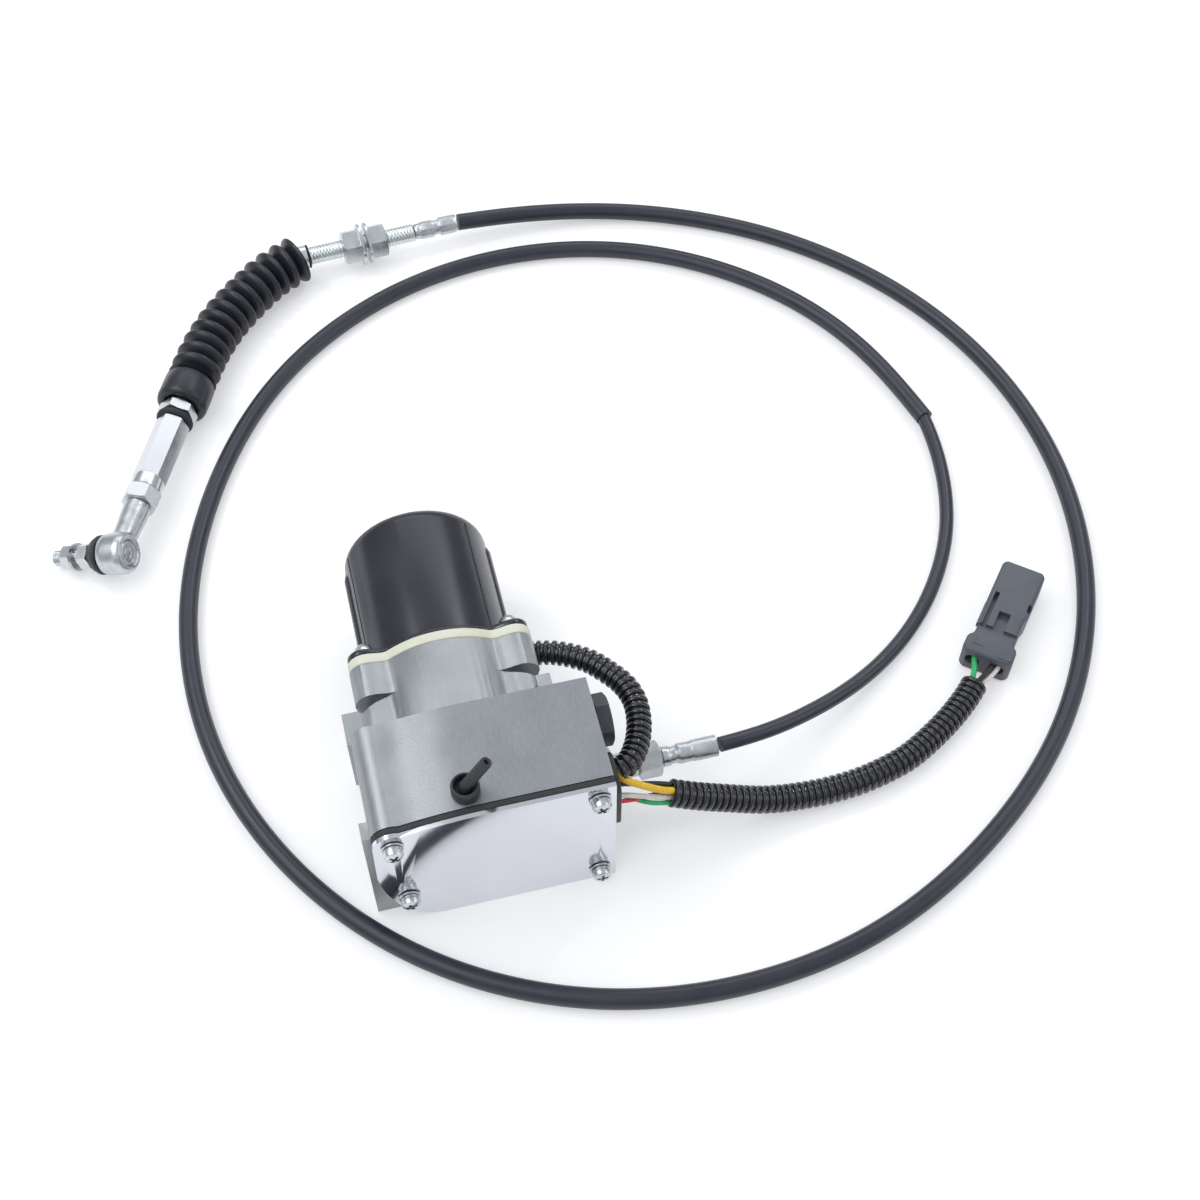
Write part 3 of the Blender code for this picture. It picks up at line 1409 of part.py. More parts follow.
def make_cable_fitting():
    """The zinc fitting screwed into the block, with two hexagons and a bore for the rod."""
    frame = side_frame(CABLE_Y, CABLE_Z)
    fitting = turned(
        "cable_fitting",
        [
            (FITTING_BORE_RADIUS, CONTACT_GAP - WALL),
            (FITTING_THREAD_RADIUS, CONTACT_GAP - WALL),
            (FITTING_THREAD_RADIUS, FITTING_FLANGE_LENGTH / 2),
            (FITTING_BARREL_RADIUS, FITTING_FLANGE_LENGTH / 2),
            (FITTING_BARREL_RADIUS, FITTING_LENGTH),
            (FITTING_BORE_RADIUS, FITTING_LENGTH),
        ],
        ZINC,
        frame,
        16,
        True,
    )
    flange = hex_nut(
        "fitting flange",
        FITTING_FLANGE_AF,
        FITTING_FLANGE_LENGTH - CONTACT_GAP,
        FITTING_BARREL_RADIUS - MM,
        ZINC,
        frame,
        CONTACT_GAP,
    )
    nut = hex_nut(
        "fitting hexagon",
        FITTING_NUT_AF,
        FITTING_NUT_LENGTH,
        FITTING_BARREL_RADIUS - MM,
        ZINC,
        frame,
        FITTING_NUT_START,
    )
    join(fitting, flange, nut)


def make_near_ferrule():
    """The swaged ferrule between the fitting and the sheath, stepped outside."""
    outer = SHEATH_DIAMETER / 2
    length = FERRULE_LENGTH
    profile = [
        (FITTING_BORE_RADIUS, 0),
        (outer + 1.0 * MM, 0),
        (outer + 0.4 * MM, length * 0.16),
        (outer + 0.4 * MM, length * 0.26),
        (outer + 1.2 * MM, length * 0.32),
        (outer + 1.0 * MM, length * 0.5),
        (outer + 1.4 * MM, length * 0.56),
        (outer + 1.4 * MM, length),
        (FITTING_BORE_RADIUS, length),
    ]
    frame = side_frame(CABLE_Y, CABLE_Z, FERRULE_START)
    turned("near_ferrule", profile, ZINC, frame, 12, True)


def make_side_plug():
    """The black hexagon plug, with its flange ring and a short thread."""
    frame = side_frame(PLUG_Y, PLUG_Z)
    head_start = CONTACT_GAP + PLUG_FLANGE_THICKNESS
    plug = turned(
        "side_plug",
        [
            (0, CONTACT_GAP - WALL),
            (PLUG_THREAD_RADIUS, CONTACT_GAP - WALL),
            (PLUG_THREAD_RADIUS, CONTACT_GAP),
            (PLUG_FLANGE_RADIUS, CONTACT_GAP),
            (PLUG_FLANGE_RADIUS, head_start),
            (0, head_start),
        ],
        BLACK_PLASTIC,
        frame,
        18,
    )
    head = hex_nut(
        "plug head", PLUG_AF, PLUG_THICKNESS + MM, 0, BLACK_PLASTIC, frame, head_start - MM
    )
    join(plug, head)


def make_grommet():
    """The rubber grommet that the wires come through."""
    face = side_frame(GROMMET_Y, GROMMET_Z, BLOCK_RIGHT + CONTACT_GAP)
    grommet = prism(
        "wire_grommet",
        rounded_rectangle(GROMMET_HEIGHT, GROMMET_WIDTH, GROMMET_WIDTH * 0.3),
        GROMMET_PROUD,
        RUBBER,
        face,
    )
    neck = prism(
        "grommet neck",
        rounded_rectangle(GROMMET_NECK_HEIGHT, GROMMET_NECK_WIDTH, GROMMET_NECK_WIDTH * 0.49),
        WALL + MM,
        RUBBER,
        side_frame(GROMMET_Y, GROMMET_Z, BLOCK_RIGHT + CONTACT_GAP - WALL),
    )
    join(grommet, neck)


def make_breather():
    """The rubber cup on top and the vent tube that leans out of it."""
    base = Matrix.Translation((BREATHER_X, BREATHER_Y, HOUSING_HEIGHT + CONTACT_GAP))
    turned(
        "breather_cup",
        [
            (BREATHER_TUBE_BORE, 0),
            (BREATHER_CUP_RADIUS, 0),
            (BREATHER_CUP_RADIUS * 0.97, BREATHER_CUP_HEIGHT),
            (BREATHER_CUP_BORE, BREATHER_CUP_HEIGHT),
            (BREATHER_CUP_BORE, BREATHER_CUP_FLOOR),
            (BREATHER_TUBE_BORE, BREATHER_CUP_FLOOR),
        ],
        RUBBER,
        base,
        14,
        True,
    )
    foot = base @ Vector((0, 0, BREATHER_CUP_FLOOR + CONTACT_GAP))
    elbow = base @ Vector((0, 0, BREATHER_ELBOW_RISE))
    tip = base @ Vector(BREATHER_TIP)
    route = [foot, elbow, elbow.lerp(tip, 0.12), tip]
    stations = [(frame, BREATHER_TUBE_RADIUS) for frame in route_frames(route, X_AXIS)]
    tube = lofted("breather_tube", stations, RUBBER, 16)
    lean = axis_frame(tip, tip - elbow, X_AXIS)
    drill(tube, BREATHER_TUBE_BORE, lean, -12 * MM, 2 * MM, 10)


# Far end of the cable


def far_frame(distance):
    """Z runs from the cable towards the bellows, from a distance past the bracket."""
    return axis_frame(FAR_POINT + FAR_DIRECTION * distance, FAR_DIRECTION)


def rod_frame(distance):
    """Z runs out of the bellows along the rod."""
    return axis_frame(ROD_POINT + ROD_DIRECTION * distance, ROD_DIRECTION, STUD_DIRECTION)


def make_threaded_tube():
    """The ferrule, the threaded tube, and the nuts and washers that clamp a bracket."""
    outer = SLEEVE_DIAMETER / 2
    start = TUBE_START - CONTACT_GAP - FAR_FERRULE_LENGTH
    length = FAR_FERRULE_LENGTH
    turned(
        "far_ferrule",
        [
            (TUBE_BORE, 0),
            (outer + 0.3 * MM, 0),
            (outer + 0.3 * MM, length * 0.42),
            (outer - 0.4 * MM, length * 0.48),
            (outer, length * 0.9),
            (outer - 0.6 * MM, length),
            (TUBE_BORE, length),
        ],
        ZINC,
        far_frame(start),
        16,
        True,
    )
    turned(
        "threaded_tube",
        tube_profile(TUBE_BORE, TUBE_RADIUS, 0, TUBE_END - TUBE_START),
        ZINC,
        far_frame(TUBE_START),
        16,
        True,
    )
    bore = TUBE_RADIUS + CONTACT_GAP
    overlap = BRACKET_WASHER_THICKNESS / 2
    body_length = JAM_NUT_THICKNESS + overlap
    front_washer = BRACKET_PLANE + CLAMP_GAP / 2
    back_washer = BRACKET_PLANE - CLAMP_GAP / 2 - BRACKET_WASHER_THICKNESS
    nut_starts = (front_washer + overlap, back_washer + overlap - body_length)
    for index, (nut_start, washer_start) in enumerate(
        zip(nut_starts, (front_washer, back_washer))
    ):
        nut = hex_nut(
            f"jam_nut_{index + 1}", JAM_NUT_AF, body_length, bore, ZINC, far_frame(nut_start)
        )
        washer = turned(
            f"bracket washer {index + 1}",
            tube_profile(bore, BRACKET_WASHER_RADIUS, 0, BRACKET_WASHER_THICKNESS),
            ZINC,
            far_frame(washer_start),
            18,
            True,
        )
        join(nut, washer)
    turned(
        "tube_collar",
        tube_profile(bore, COLLAR_RADIUS, 0, COLLAR_LENGTH),
        ZINC,
        far_frame(COLLAR_START),
        16,
        True,
    )


def boot_spine():
    """The bellows' centreline: out of the tube and round the bend to the straight cuff."""
    start = FAR_POINT + FAR_DIRECTION * (COLLAR_START + COLLAR_LENGTH + CONTACT_GAP)
    return smooth_route(BOOT_ROUTE_MM, 2 * MM, start=start)


def make_boot():
    """Rubber bellows with a plain cuff, open at both ends."""
    spine = boot_spine()
    count = 2 * CONVOLUTIONS
    last = len(spine) - 1
    rows = [spine[round(last * step / count)] for step in range(count + 1)]
    rows.append(ROD_POINT + ROD_DIRECTION * 3 * MM)
    rows.append(ROD_POINT + ROD_DIRECTION * (CUFF_LENGTH - 2 * MM))
    rows.append(ROD_POINT + ROD_DIRECTION * CUFF_LENGTH)
    frames = route_frames(rows)
    frames[0] = axis_frame(spine[0], FAR_DIRECTION)
    radii = []
    for step in range(count + 1):
        radii.append(BOOT_VALLEY_RADIUS if step % 2 else BOOT_RADIUS)
    radii[0] = TUBE_RADIUS + 3 * MM
    radii += [BOOT_RADIUS * 0.96, BOOT_RADIUS, BOOT_RADIUS - 1.4 * MM]
    outside = list(zip(frames, radii))
    inner_rows = (len(rows) - 1, len(rows) - 3, 24, 20, 16, 12, 8, 4, 1)
    inside = [(frames[row], BOOT_VALLEY_RADIUS - BOOT_WALL) for row in inner_rows]
    inside.append((frames[0], TUBE_RADIUS + CONTACT_GAP))
    lofted("bellows", outside + inside, RUBBER, 14, closed=True)


def make_core():
    """The steel core strand from inside the tube, through the bellows, to the rod."""
    spine = boot_spine()
    straight = [FAR_POINT + FAR_DIRECTION * t for t in (10 * MM, 24 * MM, TUBE_END + MM)]
    bend = spine[8 : len(spine) - 4 : 8]
    lead_out = ROD_POINT + ROD_DIRECTION * 6 * MM
    end = ROD_POINT + ROD_DIRECTION * (ROD_NUT_START + 10 * MM)
    points = [*straight, *bend, lead_out, end]
    route = smooth_route([point / MM for point in points], 8 * MM)
    cord("core_strand", route, 2 * CORE_RADIUS, STEEL, 2)


def make_rod():
    """Boot nut, seal ring, hexagon coupling and lock nut, all bored for what they hold."""
    bore = CORE_RADIUS + 0.8 * MM
    hex_nut("boot_nut", ROD_NUT_AF, ROD_NUT_THICKNESS, bore, ZINC, rod_frame(ROD_NUT_START))
    ring_start = ROD_NUT_START + ROD_NUT_THICKNESS + CONTACT_GAP
    turned(
        "seal_ring",
        tube_profile(bore, SEAL_RING_RADIUS, 0, SEAL_RING_THICKNESS),
        RUBBER,
        rod_frame(ring_start),
        20,
        True,
    )
    corner = COUPLING_AF / math.sqrt(3)
    coupling = prism(
        "hex_coupling",
        hexagon(COUPLING_AF),
        COUPLING_LENGTH - COUPLING_COLLAR_LENGTH,
        ZINC,
        rod_frame(COUPLING_START) @ Matrix.Rotation(COUPLING_TURN, 4, "Z"),
    )
    collar = turned(
        "coupling collar",
        rod_profile(
            min(COUPLING_COLLAR_RADIUS, corner),
            COUPLING_LENGTH - COUPLING_COLLAR_LENGTH - MM,
            COUPLING_LENGTH,
        ),
        ZINC,
        rod_frame(COUPLING_START),
        16,
    )
    join(coupling, collar)
    drill(coupling, bore, rod_frame(COUPLING_START), -MM, 12 * MM, 16)
    thread = THREAD_RADIUS + CONTACT_GAP
    drill(
        coupling,
        thread,
        rod_frame(COUPLING_START),
        COUPLING_LENGTH - 14 * MM,
        COUPLING_LENGTH + MM,
        16,
    )
    nut_start = COUPLING_START + COUPLING_LENGTH + CONTACT_GAP
    hex_nut("lock_nut", LOCK_NUT_AF, LOCK_NUT_THICKNESS, thread, ZINC, rod_frame(nut_start))


def stud_frame(distance):
    """Z runs along the ball stud from the centre of its ball."""
    centre = ROD_POINT + ROD_DIRECTION * EYE_DISTANCE
    return axis_frame(centre + STUD_DIRECTION * distance, STUD_DIRECTION)


def make_rod_end():
    """The rod end: threaded shank, eye with a ball socket and a staked plug on its back."""
    thread_start = COUPLING_START + COUPLING_LENGTH - 12 * MM
    shank_start = COUPLING_START + COUPLING_LENGTH + 2 * CONTACT_GAP + LOCK_NUT_THICKNESS
    rod_end = turned(
        "rod_end",
        [
            (0, thread_start),
            (THREAD_RADIUS, thread_start),
            (THREAD_RADIUS, shank_start),
            (SHANK_RADIUS, shank_start),
            (SHANK_RADIUS, EYE_DISTANCE - EYE_RADIUS * 0.9),
            (SHANK_RADIUS * 0.8, EYE_DISTANCE - 2 * MM),
            (0, EYE_DISTANCE - 2 * MM),
        ],
        ZINC,
        rod_frame(0),
        16,
    )
    eye = turned(
        "rod eye",
        [
            (0, -EYE_HALF_WIDTH),
            (EYE_RADIUS * 0.78, -EYE_HALF_WIDTH),
            (EYE_RADIUS * 0.96, -EYE_HALF_WIDTH * 0.6),
            (EYE_RADIUS, 0),
            (EYE_RADIUS * 0.96, EYE_HALF_WIDTH * 0.6),
            (EYE_RADIUS * 0.78, EYE_HALF_WIDTH),
            (0, EYE_HALF_WIDTH),
        ],
        ZINC,
        stud_frame(0),
        24,
    )
    join(rod_end, eye)
    socket = BALL_RADIUS + RUNNING_GAP
    mouth = socket * 0.86
    back_depth = math.sqrt(socket**2 - (socket * 0.2) ** 2)
    profile = [(0, -back_depth)]
    for degrees in range(-75, 31, 15):
        angle = math.radians(degrees)
        profile.append((socket * math.cos(angle), socket * math.sin(angle)))
    profile += [(mouth, EYE_HALF_WIDTH + MM), (0, EYE_HALF_WIDTH + MM)]
    hollow = turned("ball socket", profile, ZINC, stud_frame(0), 16)
    cut(rod_end, hollow)
    drill(rod_end, EYE_RADIUS * 0.33, stud_frame(0), -EYE_HALF_WIDTH - MM, -EYE_HALF_WIDTH + 0.6 * MM)


def make_ball_stud():
    """The stud: ball, neck, hexagon and thread in one piece, with its washer and nut."""
    profile = [(0, -BALL_RADIUS)]
    for degrees in range(-75, 61, 15):
        angle = math.radians(degrees)
        profile.append((BALL_RADIUS * math.cos(angle), BALL_RADIUS * math.sin(angle)))
    neck = STUD_RADIUS * 0.8
    profile += [
        (neck, BALL_RADIUS),
        (neck, STUD_HEX_START),
        (STUD_RADIUS, STUD_HEX_START),
        (STUD_RADIUS, STUD_LENGTH - MM),
        (STUD_RADIUS - MM, STUD_LENGTH),
        (0, STUD_LENGTH),
    ]
    stud = turned("ball_stud", profile, ZINC, stud_frame(0), 16)
    hexagon_collar = hex_nut(
        "stud hexagon", STUD_HEX_AF, STUD_HEX_LENGTH, 0, ZINC, stud_frame(STUD_HEX_START)
    )
    join(stud, hexagon_collar)
    bore = STUD_RADIUS + CONTACT_GAP
    washer_start = STUD_HEX_START + STUD_HEX_LENGTH + CLAMP_GAP
    turned(
        "stud_washer",
        tube_profile(bore, STUD_WASHER_RADIUS, 0, STUD_WASHER_THICKNESS),
        ZINC,
        stud_frame(washer_start),
        20,
        True,
    )
    nut_start = washer_start + STUD_WASHER_THICKNESS + CONTACT_GAP
    hex_nut("stud_nut", STUD_NUT_AF, STUD_NUT_THICKNESS, bore, ZINC, stud_frame(nut_start))
    start = EYE_HALF_WIDTH + CONTACT_GAP
    turned(
        "dust_seal",
        [
            (BALL_RADIUS * 0.8, start),
            (SEAL_RADIUS, start),
            (SEAL_RADIUS, start + SEAL_HEIGHT * 0.3),
            (SEAL_TIP_RADIUS, start + SEAL_HEIGHT),
            (neck + CONTACT_GAP, start + SEAL_HEIGHT),
            (neck + CONTACT_GAP, start + SEAL_HEIGHT * 0.7),
        ],
        RUBBER,
        stud_frame(0),
        20,
        True,
    )


# Cords and connector


def make_cords():
    """The control cable in two diameters, the motor lead and the wiring harness."""
    sleeve_route = smooth_route(SLEEVE_ROUTE_MM, CORD_POINT_SPACING * SLEEVE_DIAMETER)
    cord("cable_sleeve", sleeve_route, SLEEVE_DIAMETER, RUBBER, 2)
    sheath_route = smooth_route(SHEATH_ROUTE_MM, CORD_POINT_SPACING * SHEATH_DIAMETER)
    cord("cable_sheath", sheath_route, SHEATH_DIAMETER, RUBBER, 2)
    lead_route = smooth_route(LEAD_ROUTE_MM, CONDUIT_DIAMETER / 2)
    cord("motor_lead_conduit", lead_route, CONDUIT_DIAMETER, BLACK_PLASTIC, 2)
    harness_route = smooth_route(HARNESS_ROUTE_MM, CONDUIT_DIAMETER)
    cord("harness_conduit", harness_route, CONDUIT_DIAMETER, BLACK_PLASTIC, 2)
    wires = smooth_route(WIRES_ROUTE_MM, WIRE_BUNDLE_DIAMETER)
    cord("harness_wires", wires, WIRE_BUNDLE_DIAMETER, YELLOW, 2)
    tails = smooth_route(CONNECTOR_WIRES_ROUTE_MM, WIRE_BUNDLE_DIAMETER / 2)
    cord("connector_wires", tails, WIRE_BUNDLE_DIAMETER, GREEN, 2)


def make_connector():
    """The grey connector: a shell with an open mouth, stepped sides and a latch recess."""
    frame = axis_frame(CONNECTOR_REAR, CONNECTOR_DIRECTION)
    side = frame.col[1].to_3d()
    half_height = CONNECTOR_HEIGHT / 2
    half = CONNECTOR_WIDTH / 2
    rear_half = CONNECTOR_REAR_WIDTH / 2
    outline = [
        (0, -rear_half + 2 * MM),
        (2 * MM, -rear_half),
        (CONNECTOR_REAR_LENGTH - 3 * MM, -rear_half),
        (CONNECTOR_REAR_LENGTH, -half + 1 * MM),
        (CONNECTOR_LENGTH * 0.46, -half + 1 * MM),
        (CONNECTOR_LENGTH * 0.52, -half),
        (CONNECTOR_LENGTH - CONNECTOR_CORNER, -half),
        (CONNECTOR_LENGTH, -half + CONNECTOR_CORNER),
        (CONNECTOR_LENGTH, half - CONNECTOR_CORNER),
        (CONNECTOR_LENGTH - CONNECTOR_CORNER, half),
        (CONNECTOR_LENGTH * 0.52, half),
        (CONNECTOR_LENGTH * 0.46, half - 1 * MM),
        (CONNECTOR_REAR_LENGTH, half - 1 * MM),
        (CONNECTOR_REAR_LENGTH - 3 * MM, rear_half),
        (2 * MM, rear_half),
        (0, rear_half - 2 * MM),
    ]
    flat = Matrix((CONNECTOR_DIRECTION, side, CONNECTOR_DIRECTION.cross(side))).transposed().to_4x4()
    flat.translation = CONNECTOR_REAR - flat.col[2].to_3d() * half_height
    shell = prism("connector_shell", outline, CONNECTOR_HEIGHT, GREY_PLASTIC, flat)
    mouth = prism(
        "connector mouth",
        rounded_rectangle(
            CONNECTOR_HEIGHT - 2 * CONNECTOR_WALL, CONNECTOR_WIDTH - 2 * CONNECTOR_WALL, 2 * MM, 3
        ),
        CONNECTOR_MOUTH_DEPTH + MM,
        GREY_PLASTIC,
        frame @ Matrix.Translation((0, 0, CONNECTOR_LENGTH - CONNECTOR_MOUTH_DEPTH)),
    )
    cut(shell, mouth)
    for level in (-1, 1):
        notch_low = half_height + level * half_height - CONNECTOR_NOTCH_DEPTH
        notch = box(
            f"latch recess {level}",
            (CONNECTOR_REAR_LENGTH + 6 * MM, -CONNECTOR_NOTCH_WIDTH / 2, notch_low),
            (
                CONNECTOR_REAR_LENGTH + 6 * MM + CONNECTOR_NOTCH_LENGTH,
                CONNECTOR_NOTCH_WIDTH / 2,
                notch_low + 2 * CONNECTOR_NOTCH_DEPTH,
            ),
            GREY_PLASTIC,
            flat,
        )
        cut(shell, notch)
    for row in (-1, 1):
        for column in (-1, 1):
            pin = turned(
                f"contact {row} {column}",
                rod_profile(CONNECTOR_PIN_RADIUS, -CONNECTOR_MOUTH_DEPTH - MM, -9 * MM),
                GREY_PLASTIC,
                frame @ Matrix.Translation((row * 2.5 * MM, column * 4 * MM, CONNECTOR_LENGTH)),
                8,
            )
            join(shell, pin)


clear_scene()
ALUMINIUM = paint("cast aluminium", (0.42, 0.45, 0.46), 0.5, 0.9)
CHROME = paint("polished plate", (0.78, 0.79, 0.82), 0.12, 1.0)
ZINC = paint("zinc plate", (0.66, 0.69, 0.71), 0.3, 1.0)
STEEL = paint("steel", (0.55, 0.55, 0.56), 0.35, 1.0)
BLACK_PAINT = paint("black enamel", (0.03, 0.03, 0.035), 0.35, 0.0)
BLACK_PLASTIC = paint("black plastic", (0.025, 0.025, 0.03), 0.4, 0.0)
GREY_PLASTIC = paint("grey plastic", (0.12, 0.13, 0.14), 0.45, 0.0)
RUBBER = paint("black rubber", (0.02, 0.02, 0.022), 0.6, 0.0)
CREAM = paint("cream plastic", (0.75, 0.74, 0.62), 0.5, 0.0)
COPPER = paint("copper", (0.7, 0.32, 0.18), 0.35, 1.0)
BRONZE = paint("bronze", (0.6, 0.42, 0.2), 0.4, 1.0)
CARBON = paint("carbon", (0.05, 0.05, 0.05), 0.7, 0.0)
YELLOW = paint("yellow wire", (0.85, 0.6, 0.02), 0.4, 0.0)
GREEN = paint("green wire", (0.05, 0.6, 0.2), 0.4, 0.0)

make_housing()
make_front_plates()
make_cover_screws()
make_spacer()
make_can()
make_motor_end_plate()
make_brushes()
make_magnets()
make_armature()
make_gears()
make_output_bush()
make_lever()
make_clevis()
make_sensor()
make_cable_fitting()
make_near_ferrule()
make_side_plug()
make_grommet()
make_breather()
make_threaded_tube()
make_boot()
make_core()
make_rod()
make_rod_end()
make_ball_stud()
make_cords()
make_connector()
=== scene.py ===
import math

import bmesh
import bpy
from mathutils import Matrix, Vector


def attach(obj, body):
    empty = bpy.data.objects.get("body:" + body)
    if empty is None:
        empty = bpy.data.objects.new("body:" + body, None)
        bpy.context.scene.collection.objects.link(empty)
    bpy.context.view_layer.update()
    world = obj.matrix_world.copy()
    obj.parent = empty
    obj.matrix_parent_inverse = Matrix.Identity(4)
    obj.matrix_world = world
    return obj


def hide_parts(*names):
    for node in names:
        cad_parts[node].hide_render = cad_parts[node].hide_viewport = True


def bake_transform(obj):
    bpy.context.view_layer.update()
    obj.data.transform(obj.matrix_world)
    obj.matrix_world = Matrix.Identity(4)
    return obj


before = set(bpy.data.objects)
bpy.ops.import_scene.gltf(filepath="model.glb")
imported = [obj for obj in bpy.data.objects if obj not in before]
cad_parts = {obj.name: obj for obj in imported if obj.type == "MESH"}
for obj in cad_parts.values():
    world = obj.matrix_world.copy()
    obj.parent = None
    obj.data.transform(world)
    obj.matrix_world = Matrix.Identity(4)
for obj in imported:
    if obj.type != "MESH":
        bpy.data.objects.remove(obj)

# %% [markdown]
# # Dressing an engine governor actuator
#
# A geared electric motor in a cast housing pulls a long control cable, and the cable ends in rubber bellows
# and a ball-joint rod end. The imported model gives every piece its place. Here each piece gets its visible
# shape and its finish. We work in millimetres, because the parts' own sizes are round numbers in
# millimetres, and scale each piece to metres when it is done.

METRES = Matrix.Scale(0.001, 4)
X_AXIS, Y_AXIS, Z_AXIS = Vector((1, 0, 0)), Vector((0, 1, 0)), Vector((0, 0, 1))


def new_object(name, data):
    """Puts a mesh, curve, lamp or camera into the scene as an object."""
    made = bpy.data.objects.new(name, data)
    bpy.context.scene.collection.objects.link(made)
    return made


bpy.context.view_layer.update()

# %% [markdown]
# ## Camera
#
# The photo looks down on the table at 55.5 degrees, a little to the right. A camera can be set by angles,
# but a direction vector turned to a rotation is easier to keep level.

# %% The photo's camera
DOWN_ANGLE = math.radians(55.5)
HEADING = (0.2402, 0.9707)
ahead = math.cos(DOWN_ANGLE)
gaze = Vector((HEADING[0] * ahead, HEADING[1] * ahead, -math.sin(DOWN_ANGLE)))
camera_data = bpy.data.cameras.new("photo_camera")
camera_data.sensor_width = 36
camera_data.lens = 53.85
camera = new_object("photo_camera", camera_data)
camera.location = (-0.0339, -0.3641, 0.7153)
camera.rotation_euler = gaze.to_track_quat("-Z", "Y").to_euler()
bpy.context.scene.camera = camera
bpy.context.scene.view_settings.view_transform = "Standard"
print("camera looks along", [round(value, 3) for value in gaze])

# %% [markdown]
# ## Light
#
# Bright metal shows what stands round it, so a studio surrounds it with large soft lamps. Two broad panels
# and a smaller one do that here, and two small bright ones put sparks on the ribs and the thread crests.
# The world is plain white to the camera. In reflections it grades from dark grey below to pale grey above,
# which gives the nuts and the cover something to mirror.

# %% Lamps and world
LAMP_COLOUR = (0.95, 0.975, 1.0)


def add_panel(name, place, target, width, depth, power):
    """A rectangular area lamp that faces a target."""
    data = bpy.data.lights.new(name, "AREA")
    data.shape = "RECTANGLE"
    data.size, data.size_y, data.energy = width, depth, power
    data.color = LAMP_COLOUR
    panel = new_object(name, data)
    panel.location = place
    panel.rotation_euler = (Vector(target) - Vector(place)).to_track_quat("-Z", "Y").to_euler()


def add_node(tree, kind, values=(), **settings):
    """A node with its own settings and its inputs' values, by name or number."""
    node = tree.nodes.new(kind)
    for key, value in settings.items():
        setattr(node, key, value)
    for socket, value in dict(values).items():
        node.inputs[socket].default_value = value
    return node


def add_ramp(tree, *stops):
    """A colour ramp with two stops of (position, colour)."""
    ramp = add_node(tree, "ShaderNodeValToRGB")
    for element, (position, colour) in zip(ramp.color_ramp.elements, stops):
        element.position = position
        element.color = (*colour, 1)
    return ramp


def link(tree, *rows):
    """Each row is a node, its output, the next node and its input."""
    for origin, out_socket, goal, in_socket in rows:
        tree.links.new(origin.outputs[out_socket], goal.inputs[in_socket])


add_panel("key_panel", (-0.75, 0.05, 1.35), (0.0, 0.1, 0.0), 1.4, 1.2, 8.5)
add_panel("back_panel", (0.35, 1.25, 1.0), (0.05, 0.1, 0.02), 1.6, 0.7, 4.6)
add_panel("side_panel", (1.25, -0.3, 0.7), (0.1, 0.1, 0.02), 0.7, 0.9, 2.4)
add_panel("left_spark", (-0.5, 0.55, 0.95), (0.05, 0.1, 0.02), 0.10, 0.10, 1.2)
add_panel("right_spark", (0.75, 0.65, 0.9), (0.1, 0.1, 0.02), 0.10, 0.10, 1.0)

world = bpy.data.worlds.new("studio")
bpy.context.scene.world = world
world.use_nodes = True
tree = world.node_tree
tree.nodes.clear()
direction = add_node(tree, "ShaderNodeTexCoord")
split = add_node(tree, "ShaderNodeSeparateXYZ")
grade = add_ramp(tree, (0.30, (0.16, 0.165, 0.175)), (0.78, (0.85, 0.87, 0.90)))
shift = add_node(tree, "ShaderNodeMath", {1: 0.5, 2: 0.5}, operation="MULTIPLY_ADD")
around = add_node(tree, "ShaderNodeBackground", {"Strength": 0.72})
white = add_node(tree, "ShaderNodeBackground", {"Color": (1, 1, 1, 1)})
path = add_node(tree, "ShaderNodeLightPath")
choose = add_node(tree, "ShaderNodeMixShader")
world_out = add_node(tree, "ShaderNodeOutputWorld")
link(
    tree,
    (direction, "Generated", split, 0),
    (split, "Z", shift, 0),
    (shift, 0, grade, 0),
    (grade, 0, around, "Color"),
    (path, "Is Camera Ray", choose, 0),
    (around, 0, choose, 1),
    (white, 0, choose, 2),
    (choose, 0, world_out, 0),
)
print(len(bpy.data.lights), "lamps")

# %% [markdown]
# ## Floor
#
# The table is plain white. A diffuse floor alone would come out grey at a plain light level, so the
# material adds a little glow that only the camera and reflections see. The diffuse part still takes the
# shadows.

# %% White table
FLOOR_SIZE = 6.0
bm = bmesh.new()
bmesh.ops.create_grid(bm, x_segments=2, y_segments=2, size=FLOOR_SIZE / 2)
floor_mesh = bpy.data.meshes.new("table")
bm.to_mesh(floor_mesh)
bm.free()
floor = new_object("table", floor_mesh)
table_white = bpy.data.materials.new("table_white")
table_white.use_nodes = True
tree = table_white.node_tree
tree.nodes.clear()
matt = add_node(tree, "ShaderNodeBsdfDiffuse", {"Color": (0.72, 0.72, 0.73, 1)})
glow = add_node(tree, "ShaderNodeEmission", {"Strength": 0.38})
nothing = add_node(tree, "ShaderNodeEmission", {"Strength": 0.0})
path = add_node(tree, "ShaderNodeLightPath")
either = add_node(tree, "ShaderNodeMath", operation="MAXIMUM")
pick = add_node(tree, "ShaderNodeMixShader")
both = add_node(tree, "ShaderNodeAddShader")
floor_out = add_node(tree, "ShaderNodeOutputMaterial")
link(
    tree,
    (path, "Is Camera Ray", either, 0),
    (path, "Is Glossy Ray", either, 1),
    (either, 0, pick, 0),
    (nothing, 0, pick, 1),
    (glow, 0, pick, 2),
    (matt, 0, both, 0),
    (pick, 0, both, 1),
    (both, 0, floor_out, 0),
)
floor_mesh.materials.append(table_white)
print("table", FLOOR_SIZE, "m wide")

# %% [markdown]
# ## Shared surface effects
#
# Castings, zinc plate, rubber and moulded plastic differ in colour, but all have cloudy variation and a
# fine tooth. Both come from one node group. A second group gives sparse, thin scratches. A group can be
# placed in any material with its own values, so the effect is drawn once.

